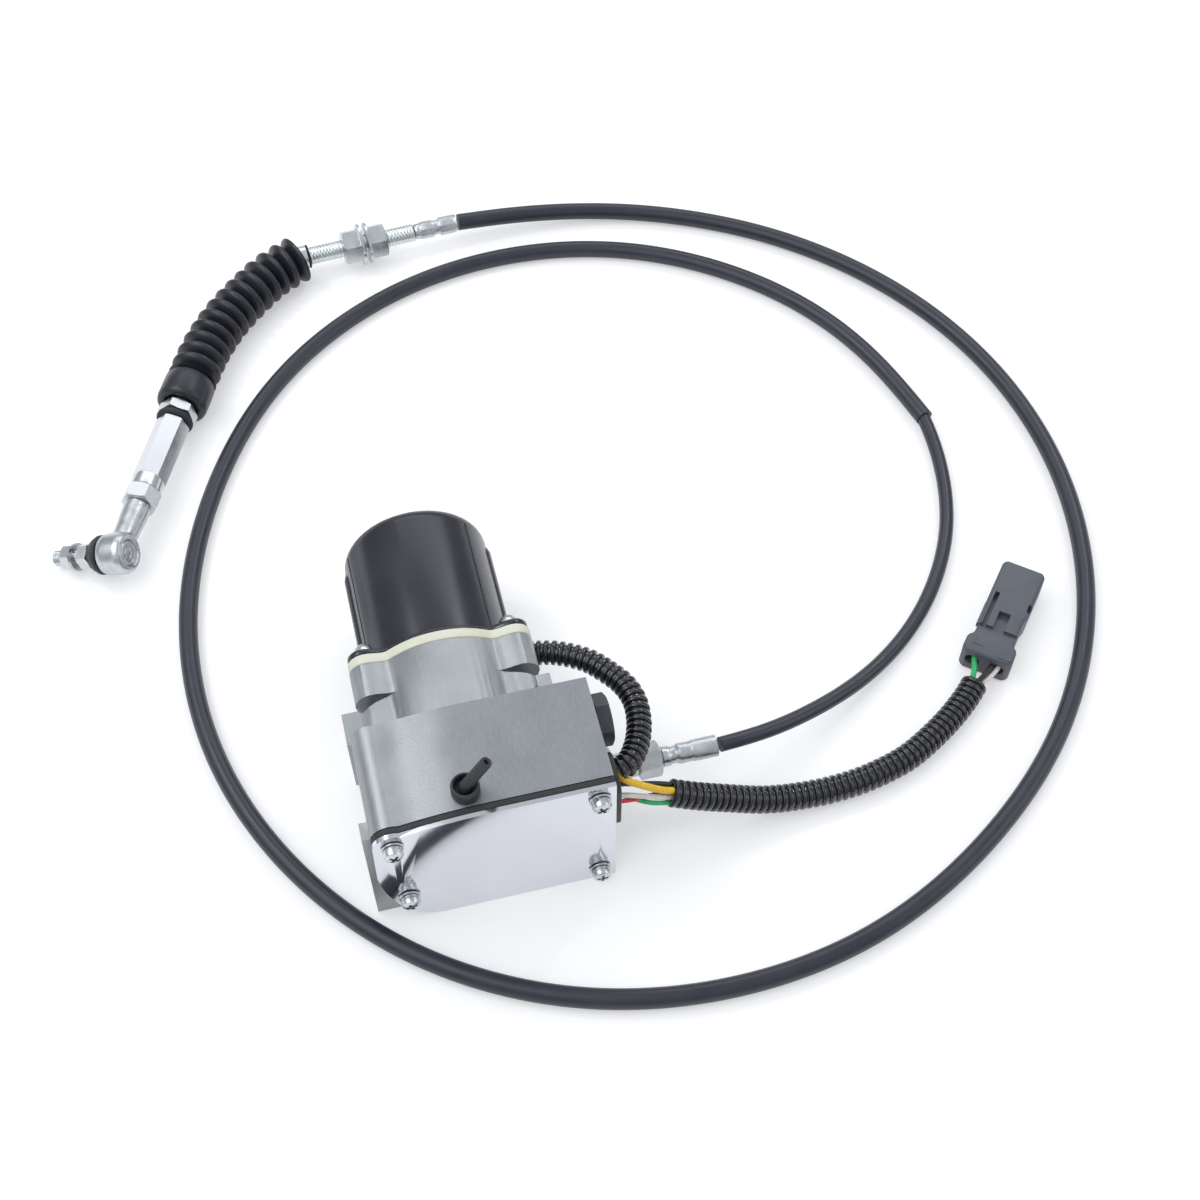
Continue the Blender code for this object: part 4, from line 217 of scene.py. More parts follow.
# %% Node group: clouds and tooth
def make_group(name, numbers, outputs):
    """A node group that takes a vector and some numbers, and puts out numbers."""
    group = bpy.data.node_groups.new(name, "ShaderNodeTree")
    group.interface.new_socket("Vector", in_out="INPUT", socket_type="NodeSocketVector")
    for socket, value in numbers.items():
        made = group.interface.new_socket(socket, in_out="INPUT", socket_type="NodeSocketFloat")
        made.default_value = value
    for socket in outputs:
        group.interface.new_socket(socket, in_out="OUTPUT", socket_type="NodeSocketFloat")
    return group, group.nodes.new("NodeGroupInput"), group.nodes.new("NodeGroupOutput")


surface_group, given, result = make_group(
    "clouds_and_tooth", {"Cloud Scale": 40.0, "Tooth Scale": 1500.0}, ["Clouds", "Tooth"]
)
clouds = add_node(surface_group, "ShaderNodeTexNoise", {"Detail": 5.0, "Roughness": 0.6})
tooth = add_node(surface_group, "ShaderNodeTexNoise", {"Detail": 3.0, "Roughness": 0.65})
spread = add_node(surface_group, "ShaderNodeMapRange", {"From Min": 0.3, "From Max": 0.7})
link(
    surface_group,
    (given, "Vector", clouds, "Vector"),
    (given, "Vector", tooth, "Vector"),
    (given, "Cloud Scale", clouds, "Scale"),
    (given, "Tooth Scale", tooth, "Scale"),
    (clouds, 0, spread, "Value"),
    (spread, 0, result, "Clouds"),
    (tooth, 0, result, "Tooth"),
)

# %% Node group: scratches
scratch_group, given, result = make_group("fine_scratches", {"Scale": 60.0, "Amount": 0.5}, ["Mask"])
lines = add_node(scratch_group, "ShaderNodeTexNoise", {"Detail": 6.0, "Roughness": 0.75})
keep = add_node(scratch_group, "ShaderNodeMapRange", {"From Min": 0.58, "From Max": 0.72})
weigh = add_node(scratch_group, "ShaderNodeMath", operation="MULTIPLY")
link(
    scratch_group,
    (given, "Vector", lines, "Vector"),
    (given, "Scale", lines, "Scale"),
    (lines, 0, keep, "Value"),
    (keep, 0, weigh, 0),
    (given, "Amount", weigh, 1),
    (weigh, 0, result, "Mask"),
)
print("groups:", surface_group.name, "and", scratch_group.name)

# %% [markdown]
# ## Finishes
#
# Every finish is one Principled surface. Clouds shift the colour between two near tones and move the
# roughness a little, the tooth drives a small bump, and scratches lighten or darken. `brush` stretches the
# clouds and the tooth along an axis, which is how polishing marks are drawn. Values that are the same all
# over go straight on the shader. The cover's `polished_plate` is nearly a mirror. A perfect mirror looks
# like a hole in a picture, so faint waves of roughness stay in it, as polishing leaves them.

# %% One maker for all finishes
def make_finish(
    name, low, high, rough, metal, cloud, tooth_scale, bump, depth,
    brush=(1, 1, 1), scratch=0.0, scratch_brush=(1, 12, 1), scratch_tone=(0.8, 0.8, 0.8), coat=0.0,
):
    """low and high are the two colours, and rough holds the lowest and the highest roughness."""
    finish = bpy.data.materials.new(name)
    finish.use_nodes = True
    tree = finish.node_tree
    shader = tree.nodes["Principled BSDF"]
    shader.inputs["Metallic"].default_value = metal
    shader.inputs["Coat Weight"].default_value = coat
    shader.inputs["Coat Roughness"].default_value = 0.12
    where = add_node(tree, "ShaderNodeTexCoord", name="where")
    stretch = add_node(tree, "ShaderNodeMapping", {"Scale": brush})
    scales = {"Cloud Scale": cloud, "Tooth Scale": tooth_scale}
    surface = add_node(tree, "ShaderNodeGroup", scales, node_tree=surface_group, name="surface")
    colour = add_node(tree, "ShaderNodeMix", {6: (*low, 1), 7: (*high, 1)}, data_type="RGBA")
    sheen = add_node(tree, "ShaderNodeMapRange", {"To Min": rough[0], "To Max": rough[1]})
    relief = add_node(tree, "ShaderNodeBump", {"Strength": bump, "Distance": depth}, name="relief")
    link(
        tree,
        (where, "Object", stretch, "Vector"),
        (stretch, 0, surface, "Vector"),
        (surface, "Clouds", colour, 0),
        (surface, "Clouds", sheen, "Value"),
        (surface, "Tooth", relief, "Height"),
        (sheen, 0, shader, "Roughness"),
        (relief, 0, shader, "Normal"),
        (colour, 2, shader, "Base Color"),
    )
    if scratch:
        slant = add_node(tree, "ShaderNodeMapping", {"Scale": scratch_brush})
        marks = add_node(tree, "ShaderNodeGroup", {"Amount": scratch}, node_tree=scratch_group)
        worn = add_node(tree, "ShaderNodeMix", {7: (*scratch_tone, 1)}, data_type="RGBA")
        link(
            tree,
            (where, "Object", slant, "Vector"),
            (slant, 0, marks, "Vector"),
            (marks, "Mask", worn, 0),
            (colour, 2, worn, 6),
            (worn, 2, shader, "Base Color"),
        )
    return finish


# %% Table of finishes
# Columns: low and high colour, roughness range, metal, cloud scale, tooth scale, bump strength, bump depth.
FINISHES = {
    "zinc_plate": ((0.55, 0.585, 0.60), (0.65, 0.675, 0.69), (0.22, 0.34), 1.0, 120, 1800, 0.08, 0.0001),
    "swaged_zinc": ((0.47, 0.505, 0.525), (0.64, 0.665, 0.68), (0.24, 0.42), 1.0, 220, 900, 0.35, 0.0003),
    "bright_coupling": ((0.62, 0.63, 0.67), (0.68, 0.69, 0.72), (0.22, 0.30), 1.0, 60, 1600, 0.05, 0.0001),
    "bare_steel": ((0.42, 0.42, 0.42), (0.56, 0.56, 0.57), (0.25, 0.42), 1.0, 90, 1400, 0.08, 0.0001),
    "black_enamel": ((0.009, 0.010, 0.018), (0.014, 0.015, 0.026), (0.24, 0.33), 0.0, 30, 700, 0.05, 0.0002),
    "conduit_black": ((0.009, 0.010, 0.015), (0.015, 0.016, 0.023), (0.10, 0.16), 0, 90, 1500, 0.04, 0.0001),
    "sleeve_black": ((0.022, 0.023, 0.036), (0.033, 0.034, 0.049), (0.30, 0.42), 0.0, 60, 1300, 0.10, 0.0001),
    "bellows_rubber": ((0.012, 0.013, 0.019), (0.021, 0.022, 0.030), (0.28, 0.40), 0, 70, 1200, 0.15, 0.0002),
    "gasket_black": ((0.015, 0.016, 0.018), (0.028, 0.029, 0.031), (0.5, 0.7), 0.0, 80, 1400, 0.2, 0.0002),
    "plug_plastic": ((0.036, 0.038, 0.046), (0.052, 0.054, 0.063), (0.26, 0.38), 0, 110, 1100, 0.18, 0.0002),
    "vent_rubber": ((0.026, 0.027, 0.031), (0.040, 0.041, 0.046), (0.42, 0.58), 0.0, 130, 1300, 0.15, 0.0002),
    "connector_plastic": (
        (0.073, 0.080, 0.101), (0.099, 0.107, 0.130), (0.38, 0.52), 0.0, 60, 1600, 0.16, 0.0001
    ),
    "cream_spacer": ((0.66, 0.66, 0.53), (0.74, 0.74, 0.62), (0.42, 0.55), 0.0, 50, 1100, 0.08, 0.0002),
    "wound_copper": ((0.55, 0.22, 0.10), (0.72, 0.33, 0.17), (0.25, 0.4), 1.0, 150, 600, 0.5, 0.0004),
    "thread_zinc": ((0.58, 0.635, 0.64), (0.70, 0.74, 0.74), (0.24, 0.34), 1.0, 120, 1800, 0.05, 0.0001),
    "sintered_bronze": ((0.48, 0.31, 0.14), (0.62, 0.43, 0.21), (0.42, 0.6), 1.0, 140, 1700, 0.3, 0.0002),
    "sintered_black": ((0.035, 0.035, 0.036), (0.060, 0.059, 0.058), (0.6, 0.8), 0.0, 140, 1700, 0.3, 0.0002),
    "polished_plate": ((0.67, 0.685, 0.73), (0.725, 0.74, 0.785), (0.06, 0.14), 1.0, 26, 500, 0.03, 0.0002),
    "cast_aluminium": ((0.325, 0.345, 0.36), (0.40, 0.42, 0.43), (0.34, 0.46), 0.92, 55, 1500, 0.45, 0.0003),
}
EXTRAS = {
    "zinc_plate": dict(scratch=0.12, scratch_tone=(0.44, 0.47, 0.49)),
    "swaged_zinc": dict(scratch=0.4, scratch_tone=(0.38, 0.41, 0.43)),
    "bare_steel": dict(scratch=0.3),
    "black_enamel": dict(coat=0.15, scratch=0.05, scratch_brush=(8, 1, 8), scratch_tone=(0.12, 0.12, 0.13)),
    "conduit_black": dict(coat=0.5),
    "sleeve_black": dict(scratch=0.12, scratch_tone=(0.10, 0.10, 0.11)),
    "plug_plastic": dict(scratch=0.35, scratch_brush=(3, 3, 3), scratch_tone=(0.13, 0.13, 0.15)),
    "connector_plastic": dict(scratch=0.12, scratch_tone=(0.20, 0.21, 0.22)),
    "wound_copper": dict(brush=(1, 6, 1)),
    "polished_plate": dict(brush=(1, 1, 0.3)),
    "cast_aluminium": dict(scratch=0.10, scratch_brush=(2, 5, 2), scratch_tone=(0.22, 0.23, 0.24)),
}
finishes = {}
for name, values in FINISHES.items():
    finishes[name] = make_finish(name, *values, **EXTRAS.get(name, {}))
print(len(finishes), "finishes")

# %% [markdown]
# ## Wire insulation
#
# Each wire is a drawn plastic tube, smooth with faint waves in its gloss. Five colours run to the
# connector.

# %% Five wire colours
WIRE_COLOURS = {
    "yellow": (0.82, 0.50, 0.015),
    "green": (0.02, 0.42, 0.13),
    "white": (0.78, 0.76, 0.74),
    "black": (0.012, 0.012, 0.014),
    "red": (0.62, 0.02, 0.025),
}
for tint, shade in WIRE_COLOURS.items():
    lighter = tuple(min(1.0, channel * 1.22 + 0.006) for channel in shade)
    name = f"{tint}_insulation"
    finishes[name] = make_finish(name, shade, lighter, (0.22, 0.34), 0.0, 200, 900, 0.08, 0.0001)
print(len(WIRE_COLOURS), "wire colours")

# %% [markdown]
# ## Cast aluminium
#
# The casting is sandy where it left the mould, and its top is milled flat, with marks that run front to
# back. One material holds both: a mask on Object coordinates finds the milled top by height, and the marks'
# stretched noise replaces the sand there.

# %% Casting with a milled top
MILLED_FROM, MILLED_FULL = 0.0782, 0.0789
tree = finishes["cast_aluminium"].node_tree
shader = tree.nodes["Principled BSDF"]
where, surface, relief = (tree.nodes[name] for name in ("where", "surface", "relief"))
cast_colour = shader.inputs["Base Color"].links[0].from_node
axes = add_node(tree, "ShaderNodeSeparateXYZ")
milled = add_node(tree, "ShaderNodeMapRange", {"From Min": MILLED_FROM, "From Max": MILLED_FULL})
streak_map = add_node(tree, "ShaderNodeMapping", {"Scale": (1, 0.14, 1)})
streaks = add_node(tree, "ShaderNodeTexNoise", {"Scale": 1900, "Detail": 4})
shallow = add_node(tree, "ShaderNodeMath", {1: 0.3}, operation="MULTIPLY")
swap = add_node(tree, "ShaderNodeMix")
milled_colour = add_node(tree, "ShaderNodeMix", data_type="RGBA")
milled_tone = add_ramp(tree, (0.35, (0.285, 0.305, 0.32)), (0.68, (0.325, 0.345, 0.36)))
link(
    tree,
    (where, "Object", axes, 0),
    (axes, "Z", milled, "Value"),
    (where, "Object", streak_map, "Vector"),
    (streak_map, 0, streaks, "Vector"),
    (milled, 0, swap, 0),
    (surface, "Tooth", swap, 2),
    (streaks, 0, shallow, 0),
    (shallow, 0, swap, 3),
    (swap, 0, relief, "Height"),
    (streaks, 0, milled_tone, 0),
    (milled, 0, milled_colour, 0),
    (cast_colour, 2, milled_colour, 6),
    (milled_tone, 0, milled_colour, 7),
    (milled_colour, 2, shader, "Base Color"),
)
print("milled above", MILLED_FROM, "m")

# %% [markdown]
# ## Tools for the pieces
#
# Most pieces are turned, so a half section spun round an axis makes them. Others are an outline pushed to a
# depth, or a row of rings along a route. These helpers do those three with bmesh operators, and `hand_in`
# finishes a piece: doubles merged, faces turned outwards, shading set, scaled to metres, and tied to its
# body.

# %% Frames and placing
def frame_at(origin, direction, upward=Z_AXIS):
    """Z runs along direction, and X stays as near to upward as it can."""
    z = Vector(direction).normalized()
    x = (Vector(upward) - z * z.dot(upward)).normalized()
    placed = Matrix((x, z.cross(x), z)).transposed().to_4x4()
    placed.translation = origin
    return placed


def moved(bm, old, matrix):
    """Places what a step added: every vertex that wasn't there before."""
    new = [vert for vert in bm.verts if vert not in old]
    bmesh.ops.transform(bm, matrix=matrix, verts=new)
    return new


# %% Turned shapes
def turn(section, matrix=Matrix(), steps=64, closed=False, climb=0.0, onto=None):
    """Spins (radius, along) points round Z, as a new shape or onto one. climb lifts each full turn."""
    bm = bmesh.new() if onto is None else onto
    old = set(bm.verts)
    verts = [bm.verts.new((radius, 0, along)) for radius, along in section]
    pairs = list(zip(verts, verts[1:])) + ([(verts[-1], verts[0])] if closed else [])
    edges = [bm.edges.new(pair) for pair in pairs]
    bmesh.ops.spin(
        bm, geom=verts + edges, cent=(0, 0, 0), axis=(0, 0, 1), dvec=(0, 0, climb / steps), angle=2 * math.pi,
        steps=steps, use_merge=not climb, use_duplicate=False,
    )
    moved(bm, old, matrix)
    return bm


def cylinder(radius, start, end):
    """The section of a plain cylinder."""
    return [(0, start), (radius, start), (radius, end), (0, end)]


# %% Extruded outlines
def push(outline, depth, matrix=Matrix(), round_edges=0.0, segments=2, onto=None):
    """A flat outline pushed along Z, with its sharp edges rounded."""
    bm = bmesh.new() if onto is None else onto
    old = set(bm.verts)
    face = bm.faces.new([bm.verts.new((x, y, 0)) for x, y in outline])
    made = bmesh.ops.extrude_face_region(bm, geom=[face])
    top = [item for item in made["geom"] if isinstance(item, bmesh.types.BMVert)]
    bmesh.ops.translate(bm, vec=(0, 0, depth), verts=top)
    bmesh.ops.recalc_face_normals(bm, faces=[f for f in bm.faces if not old.intersection(f.verts)])
    if round_edges:
        new = [vert for vert in bm.verts if vert not in old]
        rims = {
            edge for vert in new for edge in vert.link_edges if edge.calc_face_angle(0) > math.radians(28)
        }
        bmesh.ops.bevel(
            bm, geom=list(rims), offset=round_edges, offset_type="OFFSET", segments=segments, profile=0.5,
            affect="EDGES", material=-1, clamp_overlap=True,
        )
    moved(bm, old, matrix)
    return bm


def round_point(radius, angle):
    """A point on a circle."""
    return radius * math.cos(angle), radius * math.sin(angle)


def polygon(sides, across_flats, start=0.0):
    """Corners of a regular polygon. It starts with a corner on +X."""
    radius = across_flats / 2 / math.cos(math.pi / sides)
    return [round_point(radius, start + index * 2 * math.pi / sides) for index in range(sides)]


def lift(height):
    """A move along Z."""
    return Matrix.Translation((0, 0, height))


# %% Boolean of two shapes
def blank(bm):
    """Turns a bmesh into a scratch object."""
    mesh = bpy.data.meshes.new("blank")
    bm.to_mesh(mesh)
    bm.free()
    return new_object("blank", mesh)


def result_of(shape):
    """What the modifiers of an object make of it, as a new bmesh."""
    bpy.context.view_layer.update()
    bm = bmesh.new()
    bm.from_object(shape, bpy.context.evaluated_depsgraph_get())
    return bm


def carve(base, cutter, operation="DIFFERENCE"):
    """The Boolean modifier's result on two bmeshes, as a new bmesh."""
    for bm in (base, cutter):
        bmesh.ops.remove_doubles(bm, verts=bm.verts, dist=0.0005)
        bmesh.ops.recalc_face_normals(bm, faces=bm.faces)
    shapes = [blank(base), blank(cutter)]
    modifier = shapes[0].modifiers.new("carve", "BOOLEAN")
    modifier.object, modifier.operation, modifier.solver = shapes[1], operation, "EXACT"
    modifier.use_self = True
    result = result_of(shapes[0])
    for shape in shapes:
        bpy.data.meshes.remove(shape.data)
    return result


def add_shape(bm, other, matrix=Matrix()):
    """Puts another bmesh, which stays as it is, into this one."""
    mesh = bpy.data.meshes.new("blank")
    other.to_mesh(mesh)
    mesh.transform(matrix)
    bm.from_mesh(mesh)
    bpy.data.meshes.remove(mesh)


# %% Rings along a route
def smooth_route(points, spacing, start=None):
    """Points a set distance apart on a smooth curve through the route."""
    points = [Vector(point) for point in points]
    if start is not None:
        points[0] = Vector(start)
    padded = [points[0] * 2 - points[1], *points, points[-1] * 2 - points[-2]]
    fine = []
    for a, b, c, d in zip(padded, padded[1:], padded[2:], padded[3:]):
        for step in range(24):
            t = step / 24
            bend = (2 * a - 5 * b + 4 * c - d) * t * t + (3 * b - a - 3 * c + d) * t**3
            fine.append(0.5 * (2 * b + (c - a) * t + bend))
    fine.append(points[-1])
    reach = [0.0]
    for a, b in zip(fine, fine[1:]):
        reach.append(reach[-1] + (b - a).length)
    count = max(3, round(reach[-1] / spacing))
    route, at = [], 0
    for step in range(count + 1):
        target = reach[-1] * step / count
        while at < len(fine) - 2 and reach[at + 1] < target:
            at += 1
        share = (target - reach[at]) / max(reach[at + 1] - reach[at], 1e-9)
        route.append(fine[at].lerp(fine[at + 1], min(share, 1.0)))
    return route


def route_frames(route):
    """A frame at each point, turned as little as possible from one to the next."""
    frames, upward = [], Z_AXIS
    for index, place in enumerate(route):
        ahead = route[min(index + 1, len(route) - 1)] - route[max(index - 1, 0)]
        if abs(ahead.normalized().dot(upward)) > 0.97:
            upward = X_AXIS
        frames.append(frame_at(place, ahead, upward))
        upward = frames[-1].col[0].to_3d()
    return frames


def ring_sweep(stations, sides):
    """Skins circles of (frame, radius) in order, one ring extruded from the last, and fills both ends."""
    bm = bmesh.new()
    placed = [matrix @ Matrix.Scale(radius, 4) for matrix, radius in stations]
    circle = bmesh.ops.create_circle(bm, segments=sides, radius=1.0, matrix=placed[0])["verts"]
    edges = list({edge for vert in circle for edge in vert.link_edges})
    for before, after in zip(placed, placed[1:]):
        made = bmesh.ops.extrude_edge_only(bm, edges=edges)["geom"]
        verts = [item for item in made if isinstance(item, bmesh.types.BMVert)]
        edges = [item for item in made if isinstance(item, bmesh.types.BMEdge)]
        bmesh.ops.transform(bm, matrix=after @ before.inverted(), verts=verts)
    bmesh.ops.holes_fill(bm, edges=bm.edges)
    return bm


def route_length(route):
    return sum((b - a).length for a, b in zip(route, route[1:]))


def relaxed(route, passes):
    """Evens out small kinks: each inner point moves to the middle of its neighbours, over and over."""
    for _ in range(passes):
        middles = [(a + 2 * b + c) / 4 for a, b, c in zip(route, route[1:], route[2:])]
        route = [route[0], *middles, route[-1]]
    return route


# %% Handing a piece in
def to_object(name, bm, finish, sharp, at=Matrix()):
    """Placed, merged, turned outwards, in metres and shaded: smooth up to the sharp angle."""
    bmesh.ops.transform(bm, matrix=at, verts=bm.verts)
    bmesh.ops.remove_doubles(bm, verts=bm.verts, dist=0.001)
    bmesh.ops.recalc_face_normals(bm, faces=bm.faces)
    bmesh.ops.transform(bm, matrix=METRES, verts=bm.verts)
    mesh = bpy.data.meshes.new(name)
    bm.to_mesh(mesh)
    bm.free()
    mesh.materials.append(finishes[finish])
    mesh.shade_smooth()
    mesh.set_sharp_from_angle(angle=math.radians(sharp))
    return new_object(name, mesh)


def hand_in(name, bm, finish, slot_name, *nodes, body="housing", at=Matrix(), sharp=35):
    """Makes the piece, ties it to its body, and names the model's nodes that it replaces. slot_name is not
    used.
    """
    piece = to_object(name, bm, finish, sharp, at)
    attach(piece, body)
    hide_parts(*nodes)
    print(name, len(piece.data.polygons), "faces")
    return piece


# %% Softening a piece of the model
def soften(node, finish, slot_name, width, segments=2, angle=28, added=None):
    """A merged copy of a model node with rounded edges. width is in millimetres."""
    bm = bmesh.new()
    bm.from_mesh(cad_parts[node].data)
    bmesh.ops.transform(bm, matrix=METRES.inverted(), verts=bm.verts)
    bmesh.ops.remove_doubles(bm, verts=bm.verts, dist=0.002)
    if added:
        bm = carve(bm, added, "UNION")
    bmesh.ops.dissolve_limit(bm, angle_limit=math.radians(0.6), verts=bm.verts, edges=bm.edges)
    piece = hand_in(f"{node}_finished", bm, finish, slot_name, node, sharp=angle)
    rounding = piece.modifiers.new("rounded edges", "BEVEL")
    rounding.width, rounding.segments = width * 0.001, segments
    rounding.limit_method, rounding.angle_limit = "ANGLE", math.radians(angle)
    rounding.harden_normals = True
    rounding.miter_outer = "MITER_ARC"


# %% [markdown]
# ## The control cable
#
# The cable is a steel wire in a plastic sleeve. It leaves the housing thin, steps up to 9 mm after a
# quarter of a metre and lies in two loops on the table. A curve with a round bevel is the natural shape for
# it: its centreline is the route itself.

# %% Thin sheath and thick sleeve
SHEATH_ROUTE = (
    (273.0, 184.6, 4.6), (273.9, 176.4, 4.5), (273.7, 170.0, 4.1), (272.8, 161.8, 3.7), (270.1, 141.8, 3.6),
    (261.5, 112.9, 3.6),
    (247.3, 87.0, 3.6), (229.4, 65.0, 3.6), (208.5, 47.0, 4.6), (185.4, 32.6, 8.0), (161.3, 21.5, 13.5),
    (140.0, 13.6, 19.0), (126.0, 10.2, 22.6), (113.2, 9.0, 24.0),
)
SLEEVE_ROUTE = (
    (66.6, 371.2, 12.2), (92.0, 373.2, 10.5), (121.5, 372.0, 7.6), (148.5, 368.6, 5.4), (174.4, 361.5, 4.6),
    (234.1, 329.3, 4.6), (286.9, 275.5, 4.6), (320.4, 206.1, 4.6), (328.8, 127.8, 4.6), (310.8, 51.3, 4.6),
    (271.3, -12.2, 4.6), (217.5, -57.2, 4.6), (160.3, -86.0, 4.6), (103.4, -95.6, 4.6), (48.2, -91.0, 4.6),
    (-3.4, -72.0, 4.6), (-49.2, -38.2, 4.6), (-86.0, 10.8, 4.6), (-109.3, 73.8, 4.6), (-111.4, 147.2, 4.6),
    (-89.4, 221.8, 4.6), (-46.4, 288.9, 4.6), (18.3, 333.7, 4.6), (90.9, 348.4, 4.6), (162.4, 333.6, 4.6),
    (222.8, 290.9, 4.6), (257.8, 239.1, 4.6), (268.9, 200.6, 4.6), (272.4, 188.2, 4.6), (273.5, 180.6, 4.6),
)


def lay_cord(name, route, diameter, finish, slot_name, *nodes):
    """A round cord as a curve through the route, in metres."""
    curve = bpy.data.curves.new(name, "CURVE")
    curve.dimensions = "3D"
    curve.bevel_depth = diameter / 2000
    curve.bevel_resolution = 6
    curve.use_fill_caps = True
    spline = curve.splines.new("POLY")
    spline.points.add(len(route) - 1)
    for point, place in zip(spline.points, route):
        point.co = (*(place * 0.001), 1)
    spline.use_smooth = True
    curve.materials.append(finishes[finish])
    cord = new_object(name, curve)
    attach(cord, "housing")
    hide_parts(*nodes)
    print(name, round(route_length(route)), "mm long")
    return cord


sheath_route = relaxed(smooth_route(SHEATH_ROUTE, 4), 20)
sleeve_route = relaxed(smooth_route(SLEEVE_ROUTE, 5), 60)
sheath = lay_cord("thin_sheath", sheath_route, 7, "sleeve_black", "rubber", "cable_sheath")
sleeve = lay_cord("thick_sleeve", sleeve_route, 9, "sleeve_black", "rubber", "cable_sleeve")

# %% [markdown]
# ## Corrugated conduits
#
# The motor lead and the wiring harness run in split corrugated tube. Its ribs could be an array bent by a
# curve modifier. Rings swept along the route keep the real pitch in every bend, so they are used here. The
# sweep starts and ends inside the tube, which gives it an open mouth with a wall.

# %% Ribbed tube
RIB_PITCH, RIB_DEPTH, TUBE_WALL = 3.3, 1.25, 0.6
POINTS_PER_RIB, MOUTH_POINTS, TUBE_SIDES = 40, 70, 28
RIB_SECTION = (
    (0.0, 1.0), (0.15, 0.97), (0.22, 0.3), (0.3, 0.04), (0.5, 0.0), (0.7, 0.04), (0.78, 0.3), (0.85, 0.97),
)
LEAD_ROUTE = (
    (38.6, 61.0, 48.0), (50.9, 57.0, 49.5), (62.3, 50.2, 50.0), (69.8, 42.1, 50.0), (75.3, 33.8, 50.0),
    (77.8, 24.8, 50.0), (77.2, 15.4, 50.0), (74.8, 7.0, 50.5), (71.8, 0.8, 51.3), (68.6, -4.0, 52.2),
    (64.9, -7.0, 52.6), (61.2, -8.4, 52.6),
)
HARNESS_ROUTE = (
    (84.1, -12.0, 30.0), (95.7, -13.8, 25.0), (111.2, -14.9, 18.0), (127.2, -16.2, 12.0), (143.4, -16.2, 8.0),
    (159.9, -15.8, 6.6), (176.6, -14.0, 6.5), (194.5, -9.4, 6.5), (207.7, -3.2, 6.5), (222.1, 5.7, 6.5),
    (233.5, 14.5, 6.5), (240.6, 21.2, 6.9),
)


def make_conduit(name, route_points, crest, node):
    """Corrugated tube with open ends. Returns the piece and its route."""
    route = relaxed(smooth_route(route_points, RIB_PITCH / POINTS_PER_RIB), 80)
    valley = crest - RIB_DEPTH
    inside = valley - TUBE_WALL
    frames = route_frames(route)
    ribs = round(route_length(route) / RIB_PITCH)
    last = len(route) - 1
    stations = [(frames[MOUTH_POINTS], 0.5), (frames[MOUTH_POINTS], inside), (frames[0], inside)]
    for rib in range(ribs):
        for share, sunk in RIB_SECTION:
            stations.append((frames[round(last * (rib + share) / ribs)], crest - RIB_DEPTH * sunk))
    stations += [(frames[last], valley), (frames[last], inside)]
    stations += [(frames[last - MOUTH_POINTS], inside), (frames[last - MOUTH_POINTS], 0.5)]
    piece = hand_in(name, ring_sweep(stations, TUBE_SIDES), "conduit_black", "black_plastic", node, sharp=60)
    print(name, ribs, "ribs")
    return piece, route


lead, lead_route = make_conduit("motor_lead", LEAD_ROUTE, 5.6, "motor_lead_conduit")
harness, harness_route = make_conduit("wiring_harness", HARNESS_ROUTE, 6.3, "harness_conduit")

# %% [markdown]
# ## Wires
#
# Five insulated wires leave the grommet, run to the harness, and show again between it and the connector.
# Each is a short curve of its own colour.

# %% Wires at the grommet and at the connector
WIRES = (
    ("wire_yellow", "yellow", 3.2,
     ((62.6, -6.4, 52.6), (61.6, -9.8, 53.0), (64.0, -12.8, 51.6), (72.0, -14.2, 45.2), (81.0, -13.6, 36.4),
      (89.0, -12.4, 30.4))),
    ("wire_black", "black", 2.4,
     ((58.0, -10.6, 46.0), (64.0, -10.4, 44.0), (72.0, -9.8, 39.4), (80.0, -9.4, 35.2), (88.0, -9.8, 31.0))),
    ("wire_white", "white", 2.4,
     ((58.0, -14.6, 43.2), (64.0, -14.4, 41.0), (72.0, -14.4, 36.4), (80.0, -14.2, 31.6),
      (88.0, -13.8, 27.6))),
    ("wire_green", "green", 2.1,
     ((58.0, -11.0, 41.0), (67.0, -13.6, 35.4), (74.0, -15.6, 32.2), (81.0, -15.8, 29.0),
      (88.0, -15.0, 26.0))),
    ("wire_red", "red", 1.9,
     ((58.0, -16.2, 41.6), (62.0, -16.2, 39.8), (69.0, -14.4, 35.4), (78.0, -11.4, 30.4),
      (87.0, -10.6, 26.8))),
    ("tail_green", "green", 2.6,
     ((234.4, 17.0, 8.0), (238.6, 21.4, 9.3), (241.9, 26.8, 10.4), (244.0, 32.4, 10.6), (247.8, 37.8, 10.4))),
    ("tail_white", "white", 2.4,
     ((236.0, 16.6, 6.0), (241.8, 19.4, 7.2), (247.8, 21.8, 8.4), (253.8, 25.8, 9.0), (258.4, 30.6, 9.0))),
    ("tail_black", "black", 2.4,
     ((236.0, 15.6, 8.6), (241.0, 19.8, 9.8), (246.6, 23.4, 10.8), (251.6, 27.4, 11.0), (256.0, 32.0, 10.8))),
    ("tail_red", "red", 1.9,
     ((236.6, 16.6, 5.0), (242.0, 20.4, 6.2), (247.0, 23.6, 7.2), (252.6, 27.0, 7.8), (257.4, 32.0, 8.0))),
)
for name, tint, thickness, points in WIRES:
    lay_cord(name, smooth_route(points, 1.5), thickness, f"{tint}_insulation", "wires")
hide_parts("harness_wires")
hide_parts("connector_wires")

# %% [markdown]
# ## Housing, spacer and gasket
#
# These have their real shape in the model already, so a merged copy with rounded edges is the quickest way
# to a good casting. A lobed drum with finer steps than the model's is joined to the casting, with a pocket
# and a hole under each lobe, where the motor's long screws come through. The drum is bored, because the
# gears run in it.

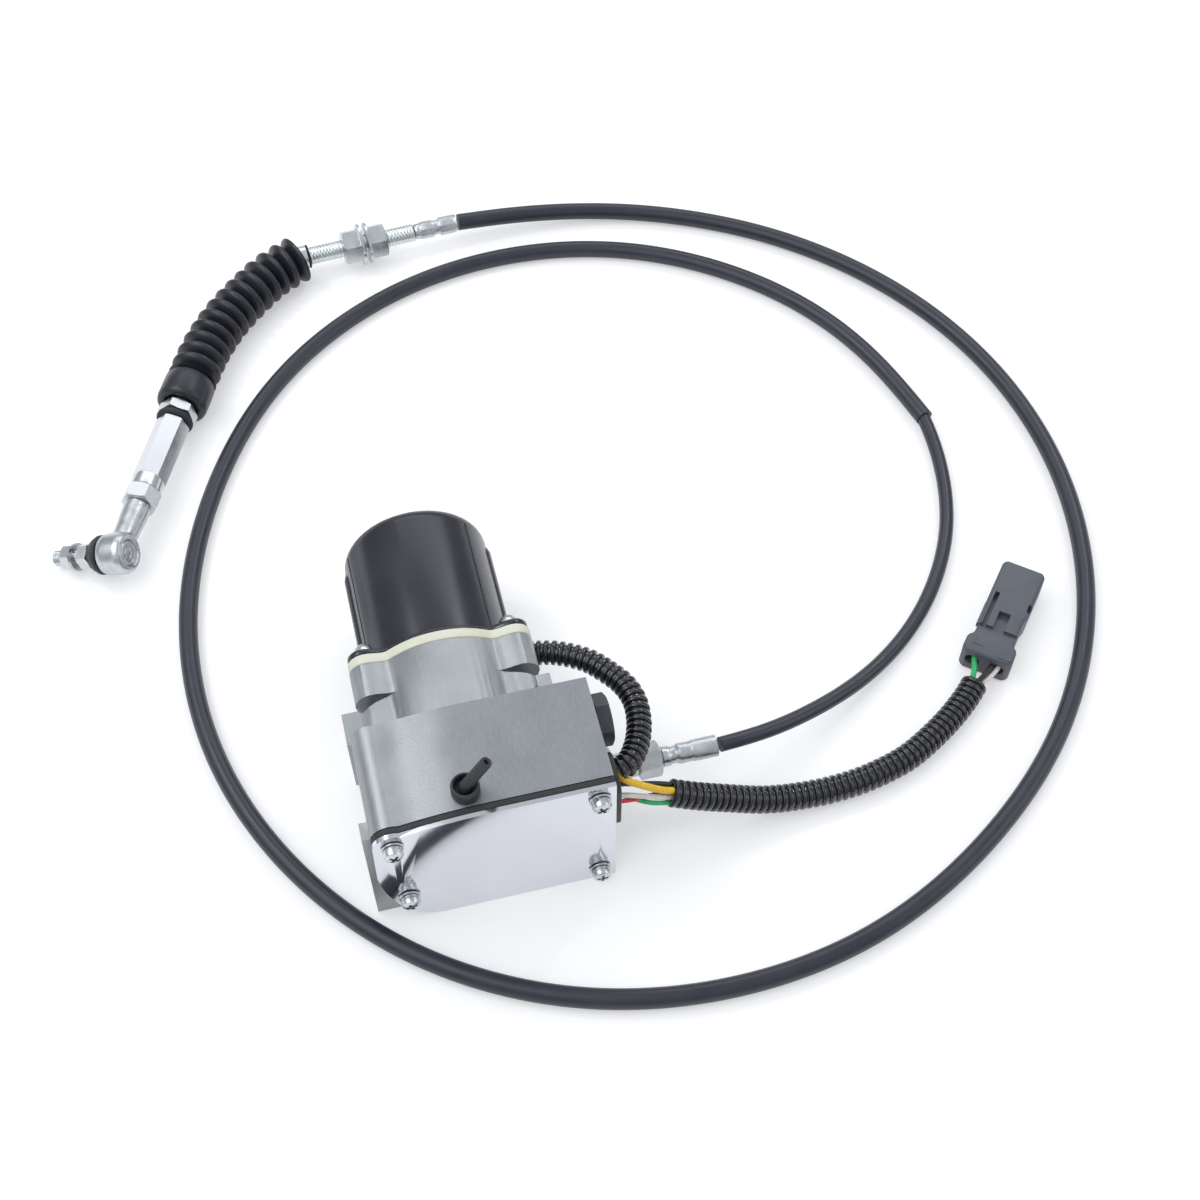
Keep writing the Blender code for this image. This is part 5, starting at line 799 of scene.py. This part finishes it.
# %% Lobed outline
AXIS_HEIGHT, OUTLINE_STEPS = 39.5, 180
LOBES = [(x, z) for x in (-32, 32) for z in (-23.5, 23.5)]


def lobed_outline(disc, lobe, blend=4):
    """A disc with four screw lobes: the farthest circle in each direction, evened out over a few degrees."""
    angles = [2 * math.pi * step / OUTLINE_STEPS for step in range(OUTLINE_STEPS)]
    reaches = []
    for angle in angles:
        reach = disc
        for x, z in LOBES:
            along = x * math.cos(angle) + z * math.sin(angle)
            across = x * math.sin(angle) - z * math.cos(angle)
            if along > 0 and abs(across) < lobe:
                reach = max(reach, along + math.sqrt(lobe**2 - across**2))
        reaches.append(reach)
    for _ in range(blend):
        after = reaches[1:] + reaches[:1]
        reaches = [(reaches[i - 1] + 2 * reaches[i] + after[i]) / 4 for i in range(OUTLINE_STEPS)]
    return [round_point(reach, angle) for reach, angle in zip(reaches, angles)]


def axis_frame(y):
    """A frame on the motor's axis, with its X along the block's X, as the lobes need."""
    return frame_at((0, y, AXIS_HEIGHT), Y_AXIS, X_AXIS)


# %% Lobed drum of the neck
WEB_START, LOBES_START, NECK_END, OVERLAP = 20, 42, 58, 0.05
NECK_DISC, NECK_LOBE, WEB_LOBE, NECK_BLEND, NECK_BORE = 37.6, 8.3, 7.4, 3, 34
CORE_RADIUS, HOLE_RADIUS, DRUM_SIDES = 37.4, 1.5, 96
POCKET_INNER, POCKET_OUTER, POCKET_DEPTH, POCKET_LEVEL, POCKET_HEIGHT = 23, 44, 9, 17, 24
CAN_SCREWS = [(x, AXIS_HEIGHT + z) for x, z in LOBES]
neck_outline = lobed_outline(NECK_DISC, NECK_LOBE, NECK_BLEND)
drum = push(neck_outline, NECK_END - LOBES_START + 0.02, axis_frame(LOBES_START - OVERLAP))
web_outline = lobed_outline(NECK_DISC, WEB_LOBE, NECK_BLEND)
drum = carve(drum, push(web_outline, LOBES_START - WEB_START, axis_frame(WEB_START)), "UNION")
pockets = bmesh.new()
for x, z in CAN_SCREWS:
    side, level = math.copysign(1, x), math.copysign(1, z - AXIS_HEIGHT)
    near, far = LOBES_START - OVERLAP, LOBES_START - POCKET_DEPTH
    corners = [(POCKET_INNER * side, near), (POCKET_OUTER * side, near), (POCKET_OUTER * side, far)]
    push(corners, POCKET_HEIGHT * level, lift(AXIS_HEIGHT + POCKET_LEVEL * level), onto=pockets)
bore_frame = frame_at((0, 0, AXIS_HEIGHT), Y_AXIS)
pockets = carve(pockets, turn(cylinder(CORE_RADIUS, 10, 60), bore_frame, DRUM_SIDES))
for x, z in CAN_SCREWS:
    turn(cylinder(HOLE_RADIUS, -4, 6), frame_at((x, LOBES_START - 1, z), Y_AXIS), 20, onto=pockets)
turn(cylinder(NECK_BORE, WEB_START - 1, NECK_END + 1), bore_frame, DRUM_SIDES, onto=pockets)
drum = carve(drum, pockets)
print("drum", len(drum.faces), "faces")

# %% Casting and its plates
SPACER_START, SPACER_THICKNESS = 58.3, 4.7
soften("gear_housing", "cast_aluminium", "aluminium", 0.7, 3, angle=40, added=drum)
soften("front_gasket", "gasket_black", "rubber", 0.25)
soften("front_cover", "polished_plate", "polished", 0.35, 3)
spacer = push(neck_outline, SPACER_THICKNESS, axis_frame(SPACER_START), 0.5)
hand_in("lobed_spacer", spacer, "cream_spacer", "cream_plastic", "spacer_plate", sharp=50)
soften("wire_grommet", "vent_rubber", "rubber", 0.8, 3)

# %% [markdown]
# ## Screws
#
# A pan-head screw is a domed disc with a cross recess. The recess is cut by a Boolean, because its walls
# meet the dome at every angle. Below the head sit a split spring washer, spun through less than a full turn
# with a small climb, and a flat washer.

# %% Screw with two washers
DOME = ((0, 0), (1, 0), (1, 0.3), (0.9, 0.68), (0.62, 0.92), (0, 1))


def screw_head(radius, height):
    """A domed head with a cross recess. Its seat is at zero and it points along Z."""
    head = turn([(radius * wide, height * high) for wide, high in DOME], steps=32)
    cross = bmesh.new()
    reach, half = radius * 0.6, radius * 0.15
    bar = [(-reach, -half), (reach, -half), (reach, half), (-reach, half)]
    for quarter in (0, 1):
        place = lift(height * 0.3) @ Matrix.Rotation(quarter * math.pi / 2, 4, "Z")
        push(bar, height, place, onto=cross)
    return carve(head, cross)


def split_washer(inner, outer, thickness, matrix, onto=None):
    """A square section spun not quite round, climbing by about a quarter of its thickness."""
    bm = bmesh.new() if onto is None else onto
    old = set(bm.verts)
    corners = ((inner, 0), (outer, 0), (outer, thickness), (inner, thickness))
    section = [bm.verts.new((radius, 0, along)) for radius, along in corners]
    face = bm.faces.new(section)
    bmesh.ops.spin(
        bm, geom=[face, *face.edges, *section], cent=(0, 0, 0), axis=(0, 0, 1), dvec=(0, 0, thickness / 150),
        angle=math.radians(342), steps=40, use_merge=False, use_duplicate=False,
    )
    moved(bm, old, matrix)
    return bm


def disc(inner, outer, start, end, chamfer):
    """The section of a washer or collar with chamfered rims."""
    edge = outer - chamfer
    low = [(inner, start), (edge, start), (outer, start + chamfer)]
    return low + [(outer, end - chamfer), (edge, end), (inner, end)]


# %% Four cover screws
COVER_FRONT = -29.1
COVER_SCREWS = ((49, 71), (49, 9), (-36.5, 68.5), (-33.5, 22.5))
cover_head = screw_head(4.1, 3.0)
for index, (x, z) in enumerate(COVER_SCREWS):
    seat = frame_at((x, COVER_FRONT - 0.3, z), -Y_AXIS) @ Matrix.Rotation(0.5 + index, 4, "Z")
    screw = turn(disc(2.6, 4.7, 0, 1, 0.2), seat, 40, True)
    split_washer(2.6, 4.0, 1.15, seat @ lift(1.05), onto=screw)
    add_shape(screw, cover_head, seat @ lift(2.5))
    turn(cylinder(2.5, 0, 3), seat @ lift(-0.2), 24, onto=screw)
    hand_in(f"cover_screw_head_{index + 1}", screw, "zinc_plate", "zinc", f"cover_screw_{index + 1}")

# %% [markdown]
# ## Motor can
#
# The can is drawn from steel sheet: a cup with a rounded bottom and a lobed flange, enamelled black. A
# pressed rib runs along each side, and a thin seam beside it shows where a wrap of film ends. The cup is
# spun, and the flange is an extruded outline.

# %% Can body
CAN_FRONT, CAN_RADIUS, CAN_LENGTH, CAN_ROUNDING = 63.3, 33.0, 72.7, 8.0
FLANGE_DEPTH, FLANGE_DISC, FLANGE_LOBE = 3.0, 35.2, 8.0
RIB_ANGLE, RIB_RADIUS, RIB_SUNK, RIB_END = 8, 4.0, 2.6, 11.0
SEAM = [(-0.4, -0.3), (0.22, -0.3), (0.22, 0.3), (-0.4, 0.3)]
can_frame = axis_frame(CAN_FRONT)
straight = CAN_LENGTH - CAN_ROUNDING
wall = [(30, 0.5), (30, 0), (CAN_RADIUS, 0), (CAN_RADIUS, straight)]
for step in range(1, 9):
    bend = math.radians(90 * step / 8)
    radius = CAN_RADIUS - CAN_ROUNDING * (1 - math.cos(bend))
    wall.append((radius, CAN_LENGTH - CAN_ROUNDING * (1 - math.sin(bend))))
wall += [(9.6, CAN_LENGTH), (9.0, CAN_LENGTH - 0.6), (0, CAN_LENGTH - 0.6)]
can = turn(wall, can_frame, 128)
push(lobed_outline(FLANGE_DISC, FLANGE_LOBE), FLANGE_DEPTH, can_frame, 0.7, 3, onto=can)
rib = [(0, 0), (RIB_RADIUS, 0)]
for wide, below in ((1, 4), (0.86, 1.5), (0.5, 0.3), (0, 0)):
    rib.append((RIB_RADIUS * wide, CAN_LENGTH - RIB_END - below))
for angle in (-RIB_ANGLE, 180 + RIB_ANGLE):
    centre = round_point(CAN_RADIUS - RIB_SUNK, math.radians(angle))
    turn(rib, can_frame @ Matrix.Translation((*centre, 0)), 24, onto=can)
for angle in (-42, 202):
    lean = math.radians(angle)
    centre = Matrix.Translation((*round_point(CAN_RADIUS, lean), FLANGE_DEPTH))
    push(SEAM, straight - FLANGE_DEPTH, can_frame @ centre @ Matrix.Rotation(lean, 4, "Z"), onto=can)
hand_in("motor_cup", can, "black_enamel", "enamel", "motor_can", sharp=40)

# %% Four can screws
long_head = screw_head(4.3, 5.8)
screws = bmesh.new()
for index, (x, z) in enumerate(CAN_SCREWS):
    seat = frame_at((x, CAN_FRONT + FLANGE_DEPTH, z), Y_AXIS) @ Matrix.Rotation(index * 0.7, 4, "Z")
    add_shape(screws, long_head, seat)
hand_in("can_screw_heads", screws, "zinc_plate", "zinc", "motor_can")

# %% [markdown]
# ## Nuts
#
# A nut is a hexagonal bar with both faces turned to a cone, which leaves a curved line on each flat. The
# same happens here: a pushed hexagon is cut by a turned envelope.

# %% Hexagon with turned faces
def hexagon_nut(across_flats, start, end, both=True, start_angle=0.0):
    """A hexagon from start to end along Z, its corners turned down."""
    body = push(polygon(6, across_flats, start_angle), end - start, lift(start))
    corner = across_flats / math.sqrt(3) + 0.3
    flat = across_flats / 2 - 0.25
    drop = (corner - flat) * 0.55
    low = [(0, start), (flat, start), (corner, start + drop)] if both else [(0, start), (corner, start)]
    envelope = turn(low + [(corner, end - drop), (flat, end), (0, end)], steps=72)
    return carve(body, envelope, "INTERSECT")


# %% [markdown]
# ## Threads
#
# A thread is a zigzag spun round the axis while it climbs by its pitch each turn. Spin's dvec does the
# climb. The ragged ends are cut flat with bisect_plane and filled.

# %% Threaded rod
def thread(radius, start, end, pitch=1.75, depth=0.5):
    """An external thread along Z, closed at both ends."""
    root, flank = radius - depth, radius - depth * 0.25
    section, along = [], start - 2 * pitch
    while along < end + pitch:
        section += [(root, along), (flank, along + pitch * 0.35)]
        section += [(radius, along + pitch * 0.5), (flank, along + pitch * 0.65)]
        along += pitch
    bm = turn(section, steps=32, climb=pitch)
    bmesh.ops.remove_doubles(bm, verts=bm.verts, dist=0.01)
    for height, normal in ((start, (0, 0, -1)), (end, (0, 0, 1))):
        whole = [*bm.verts, *bm.edges, *bm.faces]
        place = (0, 0, height)
        cut = bmesh.ops.bisect_plane(bm, geom=whole, plane_co=place, plane_no=normal, clear_outer=True)
        rim = [item for item in cut["geom_cut"] if isinstance(item, bmesh.types.BMEdge)]
        bmesh.ops.holes_fill(bm, edges=rim)
    return bm


# %% [markdown]
# ## Cable fitting and near ferrule
#
# The cable is held in the right face by a zinc fitting with two hexagons, and a swaged ferrule grips it.
# Swaging squeezes the tube in steps, and the steps are the turned section.

# %% Fitting and ferrule
fitting = hexagon_nut(19, 0.3, 8, start_angle=math.radians(30))
add_shape(fitting, hexagon_nut(14, 19, 29.5))
BARREL = [(0, 7), (6.4, 7), (6.4, 8.6), (6, 9.2), (6, 18.4), (5.4, 19.2), (5.4, 30), (0, 30)]
turn(BARREL, steps=48, onto=fitting)
hand_in("zinc_fitting", fitting, "swaged_zinc", "zinc", "cable_fitting", at=frame_at((56, 9, 24), X_AXIS))


def swaged_tube(profile):
    """A ferrule of (along, radius) steps, with a shallow mouth at its start and a rounded end."""
    (start, first), (end, last) = profile[0], profile[-1]
    section = [(0, start + 0.5), (first - 0.9, start + 0.5), (first - 0.5, start)]
    section += [(radius, along) for along, radius in profile]
    return turn(section + [(last - 0.5, end + 0.25), (0, end + 0.25)], steps=48)


NEAR_PROFILE = (
    (0.6, 4.6), (3.6, 4.5), (4.4, 3.95), (6.6, 3.9), (7.6, 4.55), (8.8, 4.75), (12.6, 4.5), (13.6, 4.55),
    (14.6, 4.9), (15.4, 4.8), (16.4, 4.95), (25.3, 4.9),
)
near_frame = frame_at((86, 9, 24), X_AXIS)
near_ferrule = swaged_tube(NEAR_PROFILE)
hand_in("near_swaged_ferrule", near_ferrule, "swaged_zinc", "zinc", "near_ferrule", at=near_frame)

# %% [markdown]
# ## Plug and breather
#
# A black hexagon plug closes the test port, and a rubber cup on top holds a short vent tube that leans to
# the right. The tube is a sweep along its bent route, with its bore carried down from the tip.

# %% Hexagon plug
plug = hexagon_nut(20, 1.2, 7.2, both=False)
turn(disc(0, 10.6, 0.2, 1.3, 0.3), onto=plug)
plug_frame = frame_at((56.1, 12, 62), X_AXIS)
hand_in("hexagon_plug", plug, "plug_plastic", "black_plastic", "side_plug", at=plug_frame)

# %% Cup and vent tube
CUP = [(1.2, 0), (5.7, 0), (6, 0.4), (5.95, 4.6), (5.6, 5.3), (5.1, 5.5), (4.7, 5.2), (4.6, 1.2), (1.2, 1.2)]
VENT_ROUTE = (
    (-3.5, -17, 80.8), (-3.5, -17, 82.6), (-3.0, -17, 84.0), (-1.2, -16.9, 86.6), (2.6, -16.8, 92.7),
    (6.3, -16.6, 98.3),
)
ROOT_RADIUS, VENT_TAPER, BORE_RADIUS, BORE_DEPTH = 2.9, 0.4, 1.15, 9
cup = turn(CUP, Matrix.Translation((-3.5, -17, 79.3)), 48, True)
hand_in("breather_cup_rubber", cup, "vent_rubber", "rubber", "breather_cup")
vent_frames = route_frames(smooth_route(VENT_ROUTE, 0.8))
stations = [(place, ROOT_RADIUS - VENT_TAPER * min(1, index / 7)) for index, place in enumerate(vent_frames)]
tip = vent_frames[-1]
stations[-1] = (tip, 2.3)
deep = tip @ lift(-BORE_DEPTH)
stations += [(tip, 1.5), (tip @ lift(-0.4), BORE_RADIUS), (deep, BORE_RADIUS), (deep, 0.2)]
hand_in("vent_tube", ring_sweep(stations, 32), "vent_rubber", "rubber", "breather_tube", sharp=50)

# %% [markdown]
# ## Far end of the cable
#
# The cable is swaged into a threaded tube, and two nuts with washers clamp that tube in a bracket on the
# engine. All of it lies on one axis, so every piece is made along Z and placed by one frame.

# %% Tube, nuts and washers
FAR_DIRECTION = Vector((-0.996, -0.0870, 0.012)).normalized()
far_frame = frame_at((9.6, 366.2, 12.9), FAR_DIRECTION)
FERRULE_PROFILE = (
    (-56.0, 4.7), (-55.4, 4.85), (-54.4, 4.4), (-46.6, 4.35), (-45.9, 4.0), (-44.2, 3.9), (-43.2, 4.1),
    (-36.2, 4.1), (-35.4, 4.45), (-34.2, 4.1), (-33.4, 4.35), (-32.4, 3.95),
)
# A crimp has a start, a length and a width across flats. A jam nut has two ends and its washer's start.
CRIMPS = ((-54.8, 8.4, 9.3), (-43.1, 7.2, 8.8))
JAM_NUTS = (
    ("front_jam_nut", -1.8, 8.35, -2.65, "jam_nut_1"),
    ("back_jam_nut", -15.75, -5.6, -6.45, "jam_nut_2"),
)
far_ferrule = swaged_tube(FERRULE_PROFILE)
for start, length, across in CRIMPS:
    push(polygon(8, across), length, lift(start), 0.25, onto=far_ferrule)
tube = thread(4.9, -31.7, 36.8)
far_hardware = [
    hand_in("far_swaged_ferrule", far_ferrule, "swaged_zinc", "zinc", "far_ferrule", at=far_frame),
    hand_in("threaded_zinc_tube", tube, "thread_zinc", "zinc", "threaded_tube", at=far_frame, sharp=70),
]
for name, low, high, washer_low, node in JAM_NUTS:
    nut = hexagon_nut(17, low, high, start_angle=math.radians(8))
    turn(disc(5.1, 11.3, 0, 1.7, 0.2), lift(washer_low), closed=True, onto=nut)
    far_hardware.append(hand_in(name, nut, "zinc_plate", "zinc", node, at=far_frame))
collar = turn(disc(4.9, 6.3, 28.2, 33, 0.3), steps=56, closed=True)
snap_ring = turn(disc(4.9, 6.35, 27.2, 28.1, 0.25), steps=56, closed=True)
far_hardware += [
    hand_in("tube_end_collar", collar, "bright_coupling", "zinc", "tube_collar", at=far_frame),
    hand_in("snap_ring", snap_ring, "gasket_black", "rubber", at=far_frame),
]

# %% [markdown]
# ## Bellows
#
# Rubber bellows keep dirt off the sliding rod. Their folds are rounded outside and tight between, so each
# fold takes eight rings of a wave. Rings along the bent centreline make the skin, and the last ones turn in
# at the cuff's end. The rod moves, but the skin is made once, from the tube's collar to the rod as they stand
# in the model.

# %% Folded skin and cuff
ROD_POINT = Vector((-89.9, 289.0, 13.5))
ROD_DIRECTION = Vector((-0.4123, -0.9108, 0.0218)).normalized()
BOOT_ROUTE = (
    (-24.6, 363.2, 13.3), (-38.7, 355.0, 13.3), (-51.7, 344.0, 13.3), (-67.4, 327.6, 13.3),
    (-80.3, 308.6, 13.4),
    (-89.9, 289.0, 13.5),
)
FOLDS, FOLD_CREST, FOLD_VALLEY = 13, 13.0, 8.1
FOLD_WAVE = (1.0, 0.94, 0.74, 0.36, 0.0, 0.36, 0.74, 0.94)
CUFF = (
    (1.2, 9.4), (2.2, 12.2), (3.4, 12.9), (9, 13), (16, 13), (18, 12.6), (19, 11.4), (19.2, 9.6), (18.4, 8.8),
    (15, 8.4), (15, 4.5),
)
boot_start = far_frame @ Vector((0, 0, 33.3))
spine = smooth_route(BOOT_ROUTE, 0.2, start=boot_start)
spine_frames = route_frames(spine)
spine_frames[0] = frame_at(boot_start, FAR_DIRECTION)
skin = [(spine_frames[4], 5.3), (spine_frames[0], 5.4), (spine_frames[0], 7.6), (spine_frames[3], 9.6)]
for fold in range(FOLDS):
    for place, height in enumerate(FOLD_WAVE):
        share = (fold + 0.18 + place / len(FOLD_WAVE)) / (FOLDS + 0.1)
        matrix = spine_frames[min(round(share * (len(spine) - 1)), len(spine) - 1)]
        skin.append((matrix, FOLD_VALLEY + (FOLD_CREST - FOLD_VALLEY) * height))
for along, radius in CUFF:
    skin.append((frame_at(ROD_POINT + ROD_DIRECTION * along, ROD_DIRECTION), radius))
bellows = to_object("folded_bellows", ring_sweep(skin, 48), "bellows_rubber", 65)
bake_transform(bellows)
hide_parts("bellows")
print("bellows", FOLDS, "folds,", len(bellows.data.polygons), "faces")

# %% [markdown]
# ## Sliding rod
#
# Past the bellows come a nut, a rubber ring, a bright hexagon coupling with a round collar, a lock nut and
# the rod end. They share one axis again.

# %% Nut, ring, coupling and lock nut
rod_frame = frame_at(ROD_POINT, ROD_DIRECTION)
on_rod = {"body": "far_rod", "at": rod_frame}
boot_nut = hexagon_nut(17, 20.5, 26.3, start_angle=math.radians(10))
turn(cylinder(7.6, 15.5, 20.7), steps=48, onto=boot_nut)
hand_in("thin_boot_nut", boot_nut, "zinc_plate", "zinc", "boot_nut", **on_rod)
ring_section = [
    (7.4 + 1.8 * math.cos(a * math.pi / 8) * 1.15, 28.4 + 1.8 * math.sin(a * math.pi / 8)) for a in range(16)
]
ring = turn(ring_section, steps=56, closed=True)
hand_in("rubber_seal_ring", ring, "gasket_black", "rubber", "seal_ring", **on_rod, sharp=80)
coupling = hexagon_nut(14.7, 30.5, 69.4, start_angle=math.radians(16))
turn([(0, 69), (7.9, 69), (8, 69.6), (8, 75.2), (7.6, 75.6), (0, 75.6)], onto=coupling)
hand_in("long_coupling", coupling, "bright_coupling", "zinc", "hex_coupling", **on_rod)
lock_nut = hexagon_nut(16, 75.9, 84.6, start_angle=math.radians(30))
hand_in("rod_lock_nut", lock_nut, "zinc_plate", "zinc", "lock_nut", **on_rod)

# %% [markdown]
# ## Rod end
#
# The rod end is forged: a tapered shank runs into a rounded eye. Joined shapes with a hard crease would
# look welded, so the union is remeshed into small even faces and smoothed, which gives the forging's soft
# fillets. The staked plug in the eye is turned afterwards, because a remesh would blur it.

# %% Forged eye with its plug
STUD_DIRECTION = Vector((-0.865, 0.3764, -0.330)).normalized()
BALL_DISTANCE, VOXEL, SMOOTHINGS = 114.9, 0.42, 6
SHANK = [(0, 84.9), (6.4, 84.9), (6.7, 85.4), (6.6, 92), (6.2, 98), (6.0, 104), (6.0, 114), (0, 114)]
EYE = [
    (0, -7.2), (8.4, -7.2), (9.5, -6.3), (10.2, -4.2), (10.3, 0), (10.2, 4.2), (9.5, 6.3), (8.4, 7.2),
    (0, 7.2),
]
STAKED_PLUG = [
    (0, -6.1), (2.0, -6.1), (2.3, -6.5), (2.6, -6.5), (2.9, -6.0), (4.6, -6.0), (4.8, -6.3), (5.6, -6.5),
    (6.0, -6.2), (6.0, -5.0), (0, -5.0),
]
ball_centre = ROD_POINT + ROD_DIRECTION * BALL_DISTANCE
stud_frame = frame_at(ball_centre, STUD_DIRECTION)
forged = carve(turn(SHANK, rod_frame, 40), turn(EYE, stud_frame, 48), "UNION")
raw = blank(carve(forged, turn(cylinder(6.6, -8, -5.6), stud_frame, 40)))
remesh = raw.modifiers.new("even faces", "REMESH")
remesh.mode, remesh.voxel_size = "VOXEL", VOXEL
forged = result_of(raw)
bpy.data.meshes.remove(raw.data)
axes = {"use_axis_x": True, "use_axis_y": True, "use_axis_z": True}
for _ in range(SMOOTHINGS):
    bmesh.ops.smooth_vert(forged, verts=forged.verts, factor=0.5, **axes)
turn(STAKED_PLUG, stud_frame, 40, onto=forged)
hand_in("forged_rod_end", forged, "swaged_zinc", "zinc", "rod_end", body="far_rod", sharp=40)

# %% [markdown]
# ## Ball stud
#
# The stud tilts in the eye. It carries a hexagon, a split washer and a nut, and a rubber seal closes the
# gap. The seal is turned on the stud's axis as it stands in the model and, like the bellows, is tied to no
# body.

# %% Stud, seal, washer and nut
SEAL = [
    (6.6, 7.5), (9.2, 7.5), (9.6, 7.9), (9.6, 9.2), (9.3, 9.6), (8.3, 11.6), (7.4, 12.4), (6.9, 13.2),
    (5.8, 13.9), (4.9, 13.9), (4.9, 12.2),
]
on_stud = {"body": "ball_stud", "at": stud_frame}
stud = hexagon_nut(11.5, 14.2, 20.2, start_angle=0.2)
turn(cylinder(4.2, 8.7, 14.4), steps=36, onto=stud)
add_shape(stud, thread(3.9, 19.6, 35.4, 1.25, 0.4))
turn([(0, 35.2), (3.4, 35.2), (2.9, 36), (0, 36)], steps=32, onto=stud)
hand_in("threaded_ball_stud", stud, "zinc_plate", "zinc", "ball_stud", **on_stud, sharp=50)
seal = turn(SEAL, steps=56, closed=True)
dust_seal = to_object("rubber_dust_seal", seal, "vent_rubber", 60, stud_frame)
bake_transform(dust_seal)
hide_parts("dust_seal")
washer = split_washer(4.2, 6.8, 1.5, lift(22.35))
hand_in("stud_split_washer", washer, "bare_steel", "zinc", "stud_washer", **on_stud)
stud_nut = hexagon_nut(11, 24.6, 30.0, start_angle=0.41)
hand_in("stud_hexagon_nut", stud_nut, "zinc_plate", "zinc", "stud_nut", **on_stud)

# %% [markdown]
# ## Connector
#
# The connector is moulded in dark grey nylon. Seen from above it has a wide hood at the wires, a body with
# a long slot and rail on its left and a latch recess in its middle, and a rounded mouth. The outline is
# pushed and bevelled, and the slots, recess, wire entries and mouth are cut out.

# %% Body, slots, mouth and contacts
CONNECTOR_REAR = Vector((247.6, 28.8, 8.2))
CONNECTOR_DIRECTION = Vector((0.642, 0.767, 0.0)).normalized()
CONNECTOR_HEIGHT = 15.6
side_direction = Z_AXIS.cross(CONNECTOR_DIRECTION)
plan = Matrix((CONNECTOR_DIRECTION, side_direction, Z_AXIS)).transposed().to_4x4()
plan.translation = CONNECTOR_REAR - Z_AXIS * CONNECTOR_HEIGHT / 2
HALF_OUTLINE = [
    (0, 9.4), (0.8, 11.2), (2.4, 12), (8, 12), (9.4, 11.4), (11.2, 9.6), (26, 9.5), (29.6, 10.4),
    (54.6, 10.5),
    (56.2, 9.9), (57, 8.3),
]
PLATE_END, CONTACT_START = 16.9, 37
CUTS = (
    ((12.9, -13, 14.1), (PLATE_END, 13, 17)),
    ((PLATE_END - 1, -2.8, 12.6), (27.0, 2.8, 17)),
    ((PLATE_END - 1, 5.9, 12.2), (37.0, 8.1, 17)),
    ((31.6, -10.9, 11.6), (36.4, -8.6, 17)),
    ((16.0, -3.0, -2), (27.0, 3.0, 2.2)),
)
RAILS = (
    ((16.5, 8.7, 11.6), (29.0, 10.5, 15.0)),
    ((1.8, -11.0, 15.2), (2.9, -5.0, 15.9)),
    ((4.6, 3.4, 15.2), (5.6, 8.6, 15.9)),
    ((5.5, 7.6, 15.2), (9.0, 8.6, 15.9)),
)
MOUTH = [(-8.7, -6), (8.7, -6), (8.7, 6), (-8.7, 6)]


def cuboid(bm, low, high):
    """A box between two corners, from a cube."""
    middle = [(a + b) / 2 for a, b in zip(low, high)]
    size = [b - a for a, b in zip(low, high)]
    bmesh.ops.create_cube(bm, size=1, matrix=Matrix.Translation(middle) @ Matrix.Diagonal((*size, 1)))


outline = [(x, -y) for x, y in HALF_OUTLINE] + [(x, y) for x, y in reversed(HALF_OUTLINE)]
shell = push(outline, CONNECTOR_HEIGHT, round_edges=1.6, segments=4)
for low, high in CUTS:
    cut = bmesh.new()
    cuboid(cut, low, high)
    shell = carve(shell, cut)
entries = bmesh.new()
for y in (-6.0, 6.0):
    turn([(0, -1), (3.5, -1), (3.2, 8), (0, 8)], frame_at((0, y, 8.4), X_AXIS), 28, onto=entries)
shell = carve(shell, entries)
middle = CONNECTOR_HEIGHT / 2
mouth_frame = frame_at((CONTACT_START, 0, middle), X_AXIS) @ Matrix.Rotation(math.pi / 2, 4, "Z")
shell = carve(shell, push(MOUTH, 21, mouth_frame, 1.6, 3))
for low, high in RAILS:
    cuboid(shell, low, high)
for row in (-2.5, 2.5):
    for column in (-4, 4):
        contact = frame_at((CONTACT_START, column, middle + row), X_AXIS)
        turn([(0, 0), (0.8, 0), (0.8, 10.5), (0.4, 11), (0, 11)], contact, 14, onto=shell)
connector = hand_in(
    "connector_body", shell, "connector_plastic", "grey_plastic", "connector_shell", at=plan, sharp=30
)

# %% [markdown]
# ## Inner parts
#
# Motor, gears, lever and sensor sit inside. Their model meshes are right as they are, so they only get a
# finish: steel, copper, bronze or black plastic.

# %% Finishes of the hidden parts
INNER_FINISHES = {
    "bare_steel": (
        "front_bearing", "rear_bearing", "ring_gear", "motor_shaft", "armature_core", "planet_gear_1",
        "planet_gear_2", "planet_gear_3", "output_carrier", "clevis_pin", "core_strand",
    ),
    "zinc_plate": ("output_lever", "cable_clevis"),
    "wound_copper": ("armature_windings", "commutator"),
    "sintered_bronze": ("output_bush",),
    "sintered_black": ("magnet_1", "magnet_2", "brush_1", "brush_2"),
    "plug_plastic": ("motor_end_plate", "position_sensor"),
}
for finish, nodes in INNER_FINISHES.items():
    for node in nodes:
        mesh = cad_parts[node].data
        mesh.materials.clear()
        mesh.materials.append(finishes[finish])
print("inner parts:", sum(len(nodes) for nodes in INNER_FINISHES.values()))
